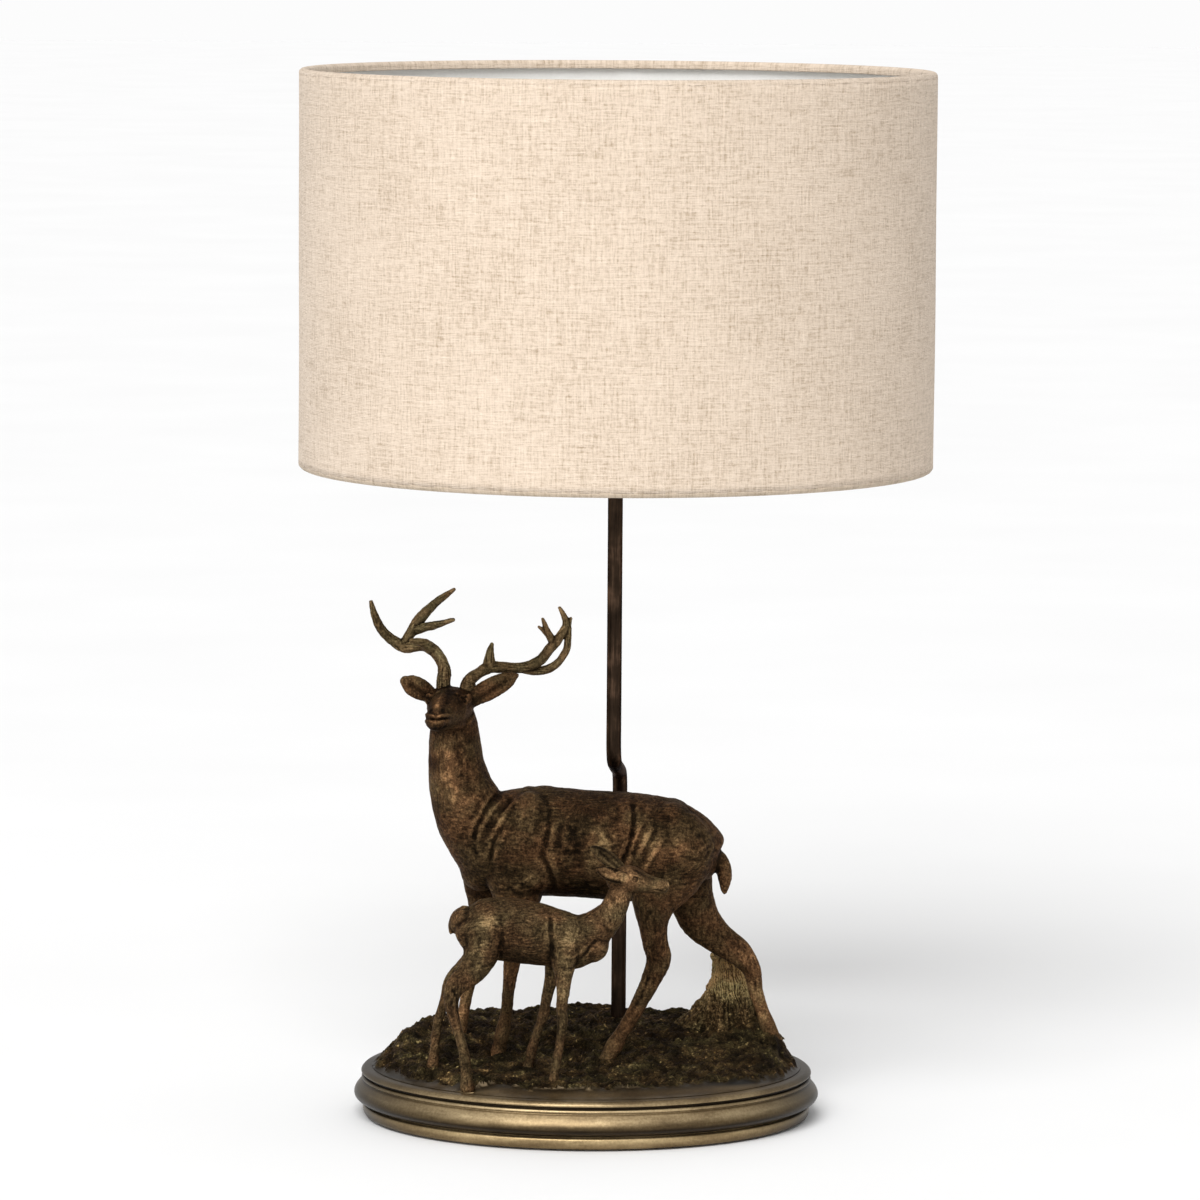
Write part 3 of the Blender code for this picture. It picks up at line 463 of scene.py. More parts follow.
def bronze(name, dark, mid, light, gold, bias=0.0, grain=1.0, roughness=0.42, fur_size=1.0, flecks=0.0):
    """Bronze-washed resin: dark in the hollows, from the wash and as painted shade, rubbed to copper and gold
    on what stands out, with painted light where faces look up or down.
    """
    g = Graph(name, Metallic=0.55, Specular_IOR_Level=0.2, Specular_Tint=(0.55, 0.42, 0.30))
    place = g.place()
    kinds = ("relief", "fur", "rub", "upright", "coated")
    relief, fur, rub, upright, coated = (g.attribute(kind) for kind in kinds)
    swirl = g.add("TexNoise", {"Vector": place, "Scale": 45.0, "Detail": 1.0}).outputs["Color"]
    bent = g.bent(place, swirl, (0.010, 0.010, 0.010))
    lean = g.add("Mapping", {"Vector": bent, "Rotation": (0, math.radians(-20), 0)}).outputs["Vector"]
    across, lengthwise, down = 1450 * fur_size, 850 * fur_size, 600 * fur_size
    lying = g.noise(g.stretched(lean, (lengthwise, across, across)), 1.0, 2.0, 0.65)
    hanging = g.noise(g.stretched(bent, (across, across, down)), 1.0, 2.0, 0.65)
    hair = g.add("Mix", {0: upright, 2: lying, 3: hanging}).outputs[0]
    hair = g.math("ADD", g.math("MULTIPLY", g.math("SUBTRACT", hair, 0.5), coated), 0.5)
    toning = g.noise(place, 36.0, 3.0)
    patch = g.noise(place, 130.0, 4.0, 0.6)
    speck = g.noise(place, 820.0, 2.0, 0.7)
    # What stands out is lighter and the hollows darker: the wash and its rubbing, with painted shade in the
    # hollows. The rubbed share also carries painted light and painted shade.
    tone = g.sum(
        bias - 0.020 - 0.57 * grain, (relief, 0.125), (fur, 0.012), (rub, 0.34), (toning, 0.44), (patch, 0.32),
        (hair, 0.34 * grain), (speck, 0.80 * grain),
    )
    if flecks:
        tone = g.math("ADD", tone, g.ramp(g.noise(place, 380.0, 2.0, 0.6), (0.60, 0.0), (0.72, flecks)))
    colour = g.ramp(tone, (0.10, dark), (0.36, mid), (0.62, light), (0.95, gold))
    hue = g.noise(place, 55.0, 2.0)
    tint = g.ramp(hue, (0.38, (0.94, 1.0, 0.88)), (0.62, (1.12, 0.96, 0.84)))
    g.set(g.shader, {"Base Color": g.mix(1.0, colour, tint, "MULTIPLY")})
    shine = g.ramp(tone, (0.15, roughness + 0.16), (0.80, roughness - 0.10))
    g.set(g.shader, {"Roughness": g.math("ADD", shine, g.math("MULTIPLY", speck, 0.05))})
    g.bump(g.sum((hair, 0.8), (speck, 0.9), (patch, 0.7)), 0.0011 * grain, 1.0)
    return g.material


# The height that the levels of the plinth's wash, painted shade and painted highlights are shares of
TONING_HEIGHT = 0.04


def antique_gold():
    """Gilt paint rubbed back to dark brown, with a dark wash and painted shade in the grooves, the cove and
    under the torus, painted highlights where the lip faces up, painted shade towards the foot and round the
    sides, and darker along the rough ground's edge.
    """
    g = Graph("antique_gold", Metallic=0.75, Specular_IOR_Level=0.4)
    place = g.place()
    height = g.add("SeparateXYZ", {"Vector": place}).outputs["Z"]
    level = g.math("DIVIDE", height, TONING_HEIGHT)
    smear = g.noise(g.stretched(place, (1, 1, 5)), 26.0, 4.0, 0.6)
    fine = g.noise(place, 650.0, 3.0, 0.65)
    tone = g.sum((smear, 0.62), (fine, 0.30))
    colour = g.ramp(
        tone, (0.26, (0.14, 0.095, 0.048)), (0.42, (0.27, 0.195, 0.102)), (0.58, (0.48, 0.365, 0.205)),
        (0.75, (0.66, 0.52, 0.32)),
    )
    # Bands by height: the dark wash with painted shade in the grooves, the cove and under the torus, painted
    # shade towards the foot, painted highlights brighter than the gilt where the lip faces up, and darker up
    # the band under the rough ground.
    dark, foot_shade, full, painted_highlight = (0.07, 0.055, 0.035), (0.40, 0.36, 0.30), (1.0, 1.0, 1.0), (1.35, 1.33, 1.25)
    toning = g.ramp(
        level, (0.0, foot_shade), (0.10, (0.70, 0.66, 0.60)), (0.17, painted_highlight), (0.205, painted_highlight), (0.225, dark),
        (0.335, dark), (0.40, (0.40, 0.37, 0.32)), (0.48, full), (0.55, (0.85, 0.83, 0.80)),
        (0.572, (0.30, 0.26, 0.20)), (0.60, full), (0.640, full), (0.652, dark), (0.690, dark),
        (0.710, full), (0.80, (0.42, 0.38, 0.33)),
    )
    colour = g.mix(1.0, colour, toning, "MULTIPLY")
    # Painted shade round the plinth's sides, and darker along the rough ground's edge, mixed towards near
    # black.
    dirt = g.attribute("dirt")
    dirty = g.math("ADD", dirt, g.math("MULTIPLY", g.math("SUBTRACT", smear, 0.5), dirt))
    g.set(g.shader, {"Base Color": g.mix(dirty, colour, (0.012, 0.009, 0.005, 1.0))})
    g.set(g.shader, {"Roughness": g.sum(0.27, (fine, 0.14), (smear, 0.12))})
    g.bump(g.sum((fine, 0.5), (smear, 0.3)), 0.0002, 0.5)
    return g.material


def dark_bronze():
    g = Graph("dark_bronze", Metallic=0.9, Specular_IOR_Level=0.25, Specular_Tint=(0.25, 0.19, 0.15))
    place = g.place()
    drawn = g.noise(g.stretched(place, (1, 1, 0.06)), 900.0, 3.0, 0.6)
    cloud = g.noise(place, 55.0, 3.0)
    tone = g.sum((drawn, 0.4), (cloud, 0.6))
    stops = (0.32, (0.012, 0.008, 0.0055)), (0.52, (0.040, 0.025, 0.016)), (0.72, (0.165, 0.098, 0.062))
    g.set(g.shader, {"Base Color": g.ramp(tone, *stops)})
    g.set(g.shader, {"Roughness": g.sum(0.26, (drawn, 0.14), (cloud, 0.12))})
    g.bump(drawn, 0.00008, 0.5)
    return g.material


def woven(name, low, high):
    """Linen in the plain weave, with slubs, from a UV map in metres round and up the drum."""
    g = Graph(name, Roughness=0.95, Sheen_Weight=0.1, Sheen_Roughness=0.5, Specular_IOR_Level=0.2)
    flat = g.uv("cloth")
    drift = g.add("TexNoise", {"Vector": flat, "Scale": 22.0, "Detail": 2.0}).outputs["Color"]
    bent = g.bent(flat, drift, (0.0016, 0.0016, 0))
    wave = {"Vector": bent, "Distortion": 0.8, "Detail": 1.0, "Detail Scale": 2.0}
    warp = g.add("TexWave", {**wave, "Scale": 300.0}, bands_direction="X").outputs["Fac"]
    weft = g.add("TexWave", {**wave, "Scale": 310.0}, bands_direction="Y").outputs["Fac"]
    slub_weft = g.noise(g.stretched(bent, (130, 900, 1)), 1.0, 2.0, 0.6)
    slub_warp = g.noise(g.stretched(bent, (900, 120, 1)), 1.0, 2.0, 0.6)
    thread_weft = g.noise(g.stretched(bent, (30, 620, 1)), 1.0, 1.0, 0.5)
    thread_warp = g.noise(g.stretched(bent, (620, 26, 1)), 1.0, 1.0, 0.5)
    fleck = g.noise(bent, 560.0, 2.0, 0.7)
    cloud = g.noise(flat, 12.0, 3.0, 0.5)
    thick = g.sum(
        (slub_weft, 0.8), (slub_warp, 0.8), (thread_weft, 0.45), (thread_warp, 0.45), (fleck, 0.6),
        (cloud, 0.30),
    )
    tone = g.math("ADD", g.math("MULTIPLY", g.math("SUBTRACT", thick, 1.70), 1.25), 0.5, clamp=True)
    colour = g.ramp(tone, (0.0, low), (0.5, tuple((a + 2 * b) / 3 for a, b in zip(low, high))), (1.0, high))
    g.set(g.shader, {"Base Color": colour})
    g.bump(g.sum((warp, 0.30), (weft, 0.30), (thick, 1.0)), 0.0006, 0.6)
    return g.material


def lining_material():
    g = Graph("lining", Roughness=0.62, Specular_IOR_Level=0.3)
    place = g.place()
    fine = g.noise(place, 600.0, 3.0)
    cloud = g.noise(place, 18.0, 3.0)
    tone = g.sum((fine, 0.4), (cloud, 0.6))
    g.set(g.shader, {"Base Color": g.ramp(tone, (0.3, (0.70, 0.69, 0.66)), (0.7, (0.80, 0.79, 0.765)))})
    g.bump(fine, 0.00012, 0.5)
    return g.material


def moulded(name, dark, light, roughness, coat=0.0):
    """Moulded plastic with a faint grain and mottling."""
    g = Graph(name, Coat_Weight=coat)
    place = g.place()
    fine = g.noise(place, 500.0, 3.0, 0.6)
    cloud = g.noise(place, 60.0, 2.0)
    tone = g.sum((fine, 0.5), (cloud, 0.5))
    g.set(g.shader, {"Base Color": g.ramp(tone, (0.35, dark), (0.65, light))})
    g.set(g.shader, {"Roughness": g.sum(roughness - 0.08, (fine, 0.16))})
    g.bump(fine, 0.00006, 0.4)
    return g.material


def plated(name, dark, light, roughness):
    """Plated or bare metal with fine tool marks and a patchy shine."""
    g = Graph(name, Metallic=1.0)
    place = g.place()
    drawn = g.noise(place, 650.0, 3.0, 0.65)
    cloud = g.noise(place, 130.0, 3.0)
    tone = g.sum((drawn, 0.4), (cloud, 0.6))
    g.set(g.shader, {"Base Color": g.ramp(tone, (0.35, dark), (0.65, light))})
    g.set(g.shader, {"Roughness": g.sum(roughness - 0.08, (drawn, 0.12), (cloud, 0.10))})
    g.bump(drawn, 0.00005, 0.5)
    return g.material


def felt_material():
    g = Graph("felt", Roughness=1.0, Sheen_Weight=0.4, Sheen_Roughness=0.6, Specular_IOR_Level=0.1)
    place = g.place()
    fibre = g.noise(place, 1400.0, 4.0, 0.75, 1.5)
    cloud = g.noise(place, 90.0, 3.0)
    tone = g.sum((fibre, 0.6), (cloud, 0.4))
    green = g.ramp(tone, (0.36, (0.012, 0.014, 0.012)), (0.64, (0.050, 0.054, 0.046)))
    g.set(g.shader, {"Base Color": green})
    g.bump(fibre, 0.0006, 0.9)
    return g.material


def frosted_glass():
    g = Graph("bulb_glass", Transmission_Weight=0.55, IOR=1.45)
    place = g.place()
    frost = g.noise(place, 900.0, 3.0)
    g.set(g.shader, {"Base Color": g.ramp(frost, (0.3, (0.90, 0.90, 0.88)), (0.7, (0.97, 0.97, 0.95)))})
    g.set(g.shader, {"Roughness": g.sum(0.32, (frost, 0.12))})
    g.bump(frost, 0.00004, 0.4)
    return g.material


stag_bronze = bronze(
    "stag_bronze", (0.005, 0.003, 0.0016), (0.035, 0.0200, 0.0100), (0.118, 0.070, 0.036),
    (0.40, 0.245, 0.125),
)
fawn_bronze = bronze(
    "fawn_bronze", (0.005, 0.0032, 0.0018), (0.038, 0.0235, 0.0125), (0.130, 0.083, 0.044),
    (0.46, 0.30, 0.16), fur_size=1.25, bias=0.02,
)
antler_bronze = bronze(
    "antler_bronze", (0.006, 0.004, 0.002), (0.042, 0.029, 0.0145), (0.13, 0.092, 0.050), (0.34, 0.25, 0.14),
    bias=0.03, grain=0.7,
)
ground_bronze = bronze(
    "ground_bronze", (0.0025, 0.0018, 0.001), (0.015, 0.0105, 0.0052), (0.060, 0.043, 0.020),
    (0.42, 0.31, 0.15), roughness=0.46, flecks=0.35, bias=0.03,
)
stump_bronze = bronze(
    "stump_bronze", (0.006, 0.004, 0.002), (0.036, 0.025, 0.012), (0.145, 0.106, 0.054), (0.55, 0.41, 0.21),
    flecks=0.3, bias=0.10,
)
gold_paint = antique_gold()
tube_bronze = dark_bronze()
linen = woven("linen", (0.40, 0.305, 0.215), (0.76, 0.635, 0.515))
# A darker copy of the linen, for the bottom hem: painted shade.
shaded_hem_linen = woven("shaded_hem_linen", (0.34, 0.265, 0.185), (0.60, 0.495, 0.385))
lining = lining_material()
black_plastic = moulded("black_plastic", (0.010, 0.010, 0.010), (0.028, 0.027, 0.026), 0.38)
white_plastic = moulded("white_plastic", (0.66, 0.65, 0.60), (0.78, 0.77, 0.73), 0.35, coat=0.2)
zinc = plated("zinc_steel", (0.42, 0.42, 0.40), (0.62, 0.62, 0.60), 0.30)
brass = plated("brass_metal", (0.50, 0.34, 0.12), (0.74, 0.55, 0.24), 0.25)
flex_cover = moulded("flex_cover", (0.014, 0.014, 0.014), (0.035, 0.034, 0.033), 0.55)
glass = frosted_glass()
felt = felt_material()


# The figures. A station is x, y, z, half height, half width, in millimetres.

STAG_TRUNK = (
    (-84, -25, 168, 14, 14), (-78, -25, 171.5, 27, 25), (-64, -24, 174, 33.5, 30),
    (-40, -24, 175, 34.5, 31.5), (-14, -24, 173.5, 34, 32), (10, -24, 172, 34.5, 31.5),
    (33, -24, 171, 32, 30), (49, -23, 168, 26.5, 26), (58, -22, 165, 20, 20), (63, -22, 162, 13, 13),
    (66, -22, 161, 4, 4),
)
STAG_NECK = (
    (-76, -25, 170, 24, 24), (-88, -26, 190, 23.5, 22), (-95.5, -27, 208, 20.5, 19),
    (-99, -29, 226, 17.6, 16.5), (-99.9, -31, 242, 16, 14.5), (-100.5, -33, 254, 14, 13),
    (-101, -34, 263, 11, 11),
)
STAG_HEAD = (
    (-100, -24, 262, 9, 9), (-101, -31, 263, 11, 12.5), (-102.5, -38, 262.5, 12.2, 14.6),
    (-104, -46, 261.5, 12.2, 13.4), (-106.3, -54, 260, 10.6, 10.4), (-108.5, -61, 258.6, 8.9, 8.4),
    (-110.2, -66, 258, 8.1, 7.8), (-110.9, -69, 257.6, 6.8, 6.6),
)
STAG_EARS = (
    ((-92, -36, 265, 4.5, 4), (-83, -37, 270.5, 6.6, 3.2), (-74, -38, 275.5, 6.8, 2.8),
     (-66, -38, 279.8, 5.2, 2.4), (-61, -38, 282.3, 1.8, 1.4)),
    ((-112, -36, 267, 4, 4), (-120, -39, 272.3, 6.8, 3), (-127, -40, 276.3, 6.6, 2.6),
     (-132, -40, 279.3, 3.2, 1.8)),
)
STAG_TAIL = (
    (63, -22, 168, 5.4, 6), (69, -22, 161, 5.2, 5.6), (70.7, -22, 152, 4.6, 4.8),
    (70.5, -22, 143.5, 2.1, 2.3),
)
STAG_PEDICLES = (
    ((-107, -35, 266, 4, 4), (-107, -35, 277.5, 4.4, 4.4)),
    ((-93, -35, 264, 4, 4), (-91.7, -35, 275.2, 4.2, 4.2)),
)
STAG_LEGS = (
    ((42, -32, 180, 24, 16), (35, -39, 160, 23, 14), (27, -44, 142, 16, 11), (25.5, -46, 128, 10, 8),
     (27, -47, 114, 8.2, 6), (29.3, -47, 104, 8, 5.4), (23, -47, 88, 6.2, 4.6), (15, -47, 72, 5.1, 4.1),
     (7, -47, 58, 4.8, 4.2), (1.5, -48, 49, 5.6, 5.0), (-1.5, -48.5, 43, 5.1, 4.7), (-4, -49, 36, 6.6, 5.6)),
    ((42, -14, 168, 17, 15), (46, -10, 152, 17, 12), (50, -8, 136, 14.5, 10), (56.5, -7, 121.5, 13, 8),
     (68, -6, 110.5, 10.3, 6.5), (80.5, -6, 101.5, 8.8, 5.6), (88.5, -6, 91, 6.2, 4.8),
     (91, -6, 79, 4.8, 4.2), (95, -6, 66, 4.4, 4), (99.5, -6, 54, 5.3, 4.6), (102, -6, 48.5, 4.9, 4.4),
     (105, -6, 40, 6.6, 5.6)),
    ((-62, -36, 165, 22, 14), (-60, -39, 146, 17, 12), (-60, -41, 128, 10.5, 8.5), (-62, -41, 112, 7, 6),
     (-63, -41, 101, 5.6, 5.2), (-65, -41, 84, 4.2, 4), (-66.5, -40, 68, 4, 3.9), (-69, -40, 55, 5, 4.6),
     (-70.3, -40, 48, 4.5, 4.2), (-72, -40, 39.5, 6, 5.4)),
    ((-78, -14, 165, 20, 13), (-80, -10, 146, 15, 11), (-82, -9, 126, 9, 7.5), (-85, -9, 108, 6.2, 5.4),
     (-88, -9, 96, 5.5, 5), (-91, -9, 80, 4.2, 4), (-94, -9, 64, 4, 3.9), (-96.7, -10, 51, 5, 4.6),
     (-97.8, -10, 44, 4.5, 4.2), (-99, -10, 36, 6, 5.4)),
)
STAG_MASSES = (
    ((-56, -36, 180), (17, 19, 29), 12), ((-56, -12, 180), (17, 19, 29), 12),
    ((-50, -39, 157), (15, 14, 13), 0), ((-54, -9, 157), (15, 14, 13), 0), ((-8, -33, 170), (30, 24, 26), 0),
    ((-8, -15, 170), (30, 24, 26), 0), ((40, -36, 172), (24, 18, 27), -14),
    ((40, -12, 170), (24, 18, 27), -14), ((37, -31, 195), (12, 15, 7), 10),
    ((37, -17, 195), (12, 15, 7), 10), ((-82, -25, 158), (14, 17, 15), 30),
    ((-44, -24, 204), (14, 13, 6.5), 0), ((-92.3, -44.5, 267.3), (3.4, 3.4, 3.4), 0),
    ((-115.3, -44.5, 267.3), (3.4, 3.4, 3.4), 0), ((-104, -42, 253.5), (11.5, 14, 6.5), 0),
)

# Strokes over the trunk, as seen from a side: path, width, height
STAG_FOLDS = (
    (((-73, 206), (-78, 200), (-84, 189), (-87, 180), (-86, 169)), 1.5, -2.4),
    (((-69, 204), (-79, 193), (-84, 183), (-86, 171)), 1.1, 1.3),
    (((-64, 205), (-71, 197), (-78, 187)), 1.4, -2.1),
    (((-60, 205), (-67, 197), (-73, 187)), 1.3, 1.1),
    (((-70, 188), (-75, 178), (-77, 166)), 1.2, -1.9),
    (((-67, 186), (-71, 178), (-74, 168)), 1.2, 1.1),
    (((-79, 207), (-90, 193), (-95, 178)), 2.4, -0.8),
    (((-43, 205), (-40, 197), (-41, 187), (-43, 177), (-44, 171), (-39, 158), (-36, 148)), 1.7, -1.9),
    (((-37, 190), (-38, 180), (-38, 170), (-35, 160)), 2.4, 0.6),
    (((-48, 201), (-51, 190), (-50, 178)), 3.0, 0.6),
    (((12, 205), (13, 195), (12, 184), (8, 171), (4, 158)), 1.5, -2.6),
    (((5, 199), (4, 186), (0, 172)), 6.0, 0.9),
    (((20, 200), (21, 190), (18, 180)), 3.4, 0.8),
    (((20, 190), (15, 179), (12, 172)), 1.3, -1.6),
    (((27, 187), (22, 176), (18, 166)), 1.3, -1.7),
    (((24, 188), (19, 178), (15, 169)), 1.2, 1.4),
    (((31, 182), (25, 172), (20, 163)), 1.2, 1.2),
    (((-64, 158), (-58, 154), (-52, 156), (-48, 161)), 1.0, 0.6),
    (((-66, 150), (-58, 145), (-50, 146), (-44, 152)), 2.0, -0.9),
    (((44, 176), (52, 174), (60, 178), (64, 184)), 1.2, 0.5),
    (((45, 170), (54, 168), (62, 172), (66, 178)), 1.2, -0.5),
    (((52, 186), (60, 178), (62, 168), (58, 156)), 2.2, -0.8),
    (((30, 160), (36, 148), (38, 134)), 2.6, -0.7),
    (((-28, 152), (-14, 150), (0, 152)), 3.0, -0.8),
    (((-24, 190), (-26, 178), (-22, 164)), 6.0, -1.5),
    (((-9, 190), (-8, 180), (-12, 170)), 7.0, 1.2),
    (((-98, 240), (-96, 222), (-90, 206)), 3.2, -0.8),
    (((-106, 242), (-106, 222), (-100, 200)), 3.4, 0.8),
    (((-91, 240), (-88, 222), (-82, 208)), 3.0, 0.6),
    (((88, 97), (84, 104), (76, 108)), 1.6, -0.6),
    (((84, 92), (90, 84), (93, 70)), 1.2, -0.5),
    (((27, 106), (24, 96), (18, 82), (11, 68)), 1.3, -0.6),
    (((33, 104), (30, 94), (24, 82)), 1.1, 0.5),
)

# Paths on the stag's face that both its relief and its wash follow
UPPER_LIP = ((-117.4, -66, 260.9), (-110.7, -76, 261.3), (-103.6, -67, 260.8), (-101, -60, 259.8))
CHIN_GROOVE = ((-116, -66, 254.0), (-110.7, -73, 253.8), (-104, -66, 254.0))
NOSE_FOOT = ((-116, -70, 262.9), (-110.7, -77, 263.1), (-105, -70, 262.9))
UPPER_LID = ((-99.2, -50, 268.8), (-95.6, -49.5, 270.9), (-92.6, -47, 269.4), (-91.2, -44, 266.6))
LOWER_LID = ((-99, -51, 265.0), (-95.4, -50, 263.4), (-91.6, -47, 264.8))
NOSE_SIDE = ((-104.6, -62, 266), (-103.6, -54, 269), (-102.5, -48, 272))

# Strokes over the face, in space: path, width, height
STAG_FACE = (
    (((-118.3, -60, 257.6), (-117.2, -68, 258.6), (-110.7, -76, 259), (-104.2, -69, 258.8),
      (-101.2, -60, 258), (-99, -53, 256.5)), 0.75, -2.3),
    (((-117, -66, 256.6), (-110.7, -75, 256.8), (-104, -67, 256.6)), 0.85, 1.25),
    (CHIN_GROOVE, 1.0, -1.5),
    (UPPER_LIP, 0.85, 1.25),
    (((-105, -44, 274), (-107.5, -56, 270.2), (-110.3, -67, 266.2)), 2.4, 0.9),
    (((-100.2, -50, 270.6), (-95.6, -49, 272.8), (-91.8, -46, 271.2), (-89.8, -42, 267.4)), 1.0, 1.1),
    (((-107, -49, 271.5), (-111, -48, 272.2), (-115.5, -45, 271.2), (-118, -41, 268.6)), 1.1, 1.1),
    (((-96.6, -51, 265.6), (-99.6, -57, 262.8), (-101.5, -61, 261)), 0.9, -0.9),
    (((-113.6, -52, 265.6), (-113.8, -58, 263), (-114.8, -62, 261)), 0.9, -0.9),
    (((-90.8, -43, 262.5), (-95, -50, 260), (-99.5, -56, 259)), 1.6, 0.7),
    (((-88.6, -36, 258), (-92, -45, 252), (-99, -54, 250.5)), 1.8, 0.6),
    (((-117.8, -44, 262), (-117.4, -52, 260.5)), 1.5, 0.6),
    (((-104.5, -50, 271.5), (-104.8, -44, 274)), 1.8, -0.7),
    (((-97.5, -50, 266.5), (-101.5, -58, 262.5), (-103.6, -66, 260.8)), 1.5, -1.2),
    (((-115.4, -50, 266.5), (-116.8, -58, 262.8), (-117.6, -66, 260.8)), 1.2, -0.8),
    (((-92, -42, 259), (-97, -48, 255.5), (-101, -56, 254.5)), 2.0, -0.8),
    (NOSE_FOOT, 0.7, -0.9),
    (UPPER_LID, 0.6, -0.6),
    (LOWER_LID, 0.7, 0.6),
    (NOSE_SIDE, 1.3, -0.9),
    (((-86, -36, 262), (-88, -38, 256), (-93, -42, 251.5)), 1.6, 0.8),
)
STAG_SPOTS = (
    ((-113.9, -73.6, 263.8), 1.25, -1.9), ((-106.5, -73.4, 264.1), 1.25, -1.9),
    ((-114.9, -71, 265.6), 1.3, 0.5), ((-105.8, -70, 265.8), 1.3, 0.5), ((-110.3, -73, 266), 2.6, 0.5),
)
STAG_EYES = ((-95.0, -48.8, 267.2), (-115.9, -47.6, 267.8))
STAG_EAR_CUPS = (
    (((-87, 265.5), (-80, 269.5), (-72, 275.5), (-65, 280)), 2.6, -2.3),
    (((-117, 269), (-122, 272), (-128, 276.5)), 2.6, -2.3),
)

# Fine lines where the wash stays dark or is rubbed bright: path, width, strength
STAG_LINES = (
    (UPPER_LIP, 0.8, 0.6),
    (((-118, -62, 258.4), (-117, -68, 258.8), (-110.7, -76, 259.1), (-104, -68, 258.8), (-100.5, -58, 257.6)),
     0.8, -1.4),
    (((-117, -66, 256.6), (-110.7, -75, 256.9), (-104, -67, 256.7)), 0.7, 0.5), (CHIN_GROOVE, 1.1, -1.3),
    (((-114.5, -64, 251.0), (-110.7, -69, 250.8), (-106.5, -64, 251.0)), 1.0, 0.1), (NOSE_FOOT, 0.8, -1.0),
    (((-111, -73, 265.6), (-110, -64, 268.6), (-109, -57, 271)), 1.5, 0.6),
    (((-99.8, -50, 270.4), (-95.6, -49, 272.6), (-92, -46, 271), (-90.2, -42, 267.4)), 0.8, 0.35),
    (UPPER_LID, 0.6, -1.2), (LOWER_LID, 0.7, 0.4), (NOSE_SIDE, 1.6, -0.7),
    (((-114.5, -50, 270.3), (-118, -44, 268.6)), 1.2, -0.9),
    (((-84, -34, 266), (-80, -33, 269.5), (-72, -31, 275.5), (-65, -30, 280)), 2.0, 0.55),
    (((-86, -34, 262), (-78, -32, 265), (-68, -30, 271), (-59.5, -29, 279), (-60, -29, 283.5)), 0.9, -1.0),
    (((-120, -33, 270.5), (-128, -31, 276.5)), 2.2, 0.45),
    (((-117, -34, 265.5), (-125, -31, 269.5), (-132.5, -30, 278)), 0.9, -1.0),
)

# Where the wash is rubbed through, and darker spots, of which those under the belly, the chest and the jaw
# are painted shade: x, z, radius, strength
STAG_RUBS_AND_SHADE = (
    (-106, 236, 9, 0.50), (-106, 217, 9, 0.62), (-98, 202, 9, 0.58), (-92, 188, 7, 0.35), (-9, 181, 9, 1.0),
    (-22, 178, 7, -0.6), (-17, 160, 10, 0.25), (19, 182, 6, 0.75), (26, 174, 7, 0.7), (41, 176, 9, 0.45),
    (-56, 184, 10, 0.15), (-50, 160, 8, 0.15), (-36, 168, 5, 0.45), (-76, 196, 5, 0.35), (-70, 192, 4, 0.5),
    (-110.6, 267, 2.4, 0.8), (-109.5, 257, 3.0, 0.2), (-104, 276, 5, -0.5), (-98, 270, 4, -0.3),
    (-95.2, 267.2, 2.2, -0.7), (-103, 272, 6, -0.35), (-92, 262, 6, -0.15), (-115.9, 268, 2.2, -0.8),
    (-92, 257, 5, 0.15), (-76, 273, 8, 0.45), (-66, 280, 5, 0.45), (-125, 275, 7, 0.4),
    (-113.9, 263.8, 1.3, -1.2), (-106.5, 264, 1.3, -1.2), (-110.5, 251, 5, -0.6), (56, 130, 12, 0.30),
    (84, 100, 6, 0.45), (90, 76, 8, 0.55), (92, 60, 8, 0.35), (-64, 100, 20, 0.15), (-96, 60, 14, 0.35),
    (-20, 206, 26, -0.35), (30, 203, 22, -0.35), (-112, 226, 5, -0.8), (-60, 148, 9, -0.2),
    (-20, 143, 16, -0.6), (12, 185, 4, -0.5), (30, 116, 14, -0.1),
)

LEFT_ANTLER = (
    ((-107, -35, 273.5, 4.4, 4.4), (-107, -35, 278.5, 4.3, 4.3), (-106.4, -35, 284.5, 4.1, 4.1),
     (-108, -34, 290, 3.7, 3.7), (-112.5, -32, 296, 3.9, 3.9), (-120, -29, 300, 4, 4),
     (-131, -26, 298, 3.8, 3.8), (-139, -25, 302, 3.4, 3.4), (-146, -27, 309, 3, 3),
     (-150, -29, 317, 2.6, 2.6), (-153, -31, 328, 1.2, 1.2)),
    ((-114, -32, 297, 3.6, 3.6), (-120, -37, 302, 3, 3), (-127, -41, 304, 1.6, 1.6)),
    ((-133, -26, 299, 3, 3), (-129, -23, 305, 3.3, 3.3), (-122.5, -20, 315, 3.7, 3.4),
     (-113.5, -19, 324.5, 2.7, 2.6), (-107, -19, 329.6, 2.2, 2.2), (-101, -19, 334, 1.2, 1.2)),
    ((-126, -22, 308, 3.2, 3), (-119, -24, 310.5, 2.9, 2.8), (-111, -27, 312.6, 2.5, 2.4),
     (-101, -30, 316, 1.2, 1.2)),
)
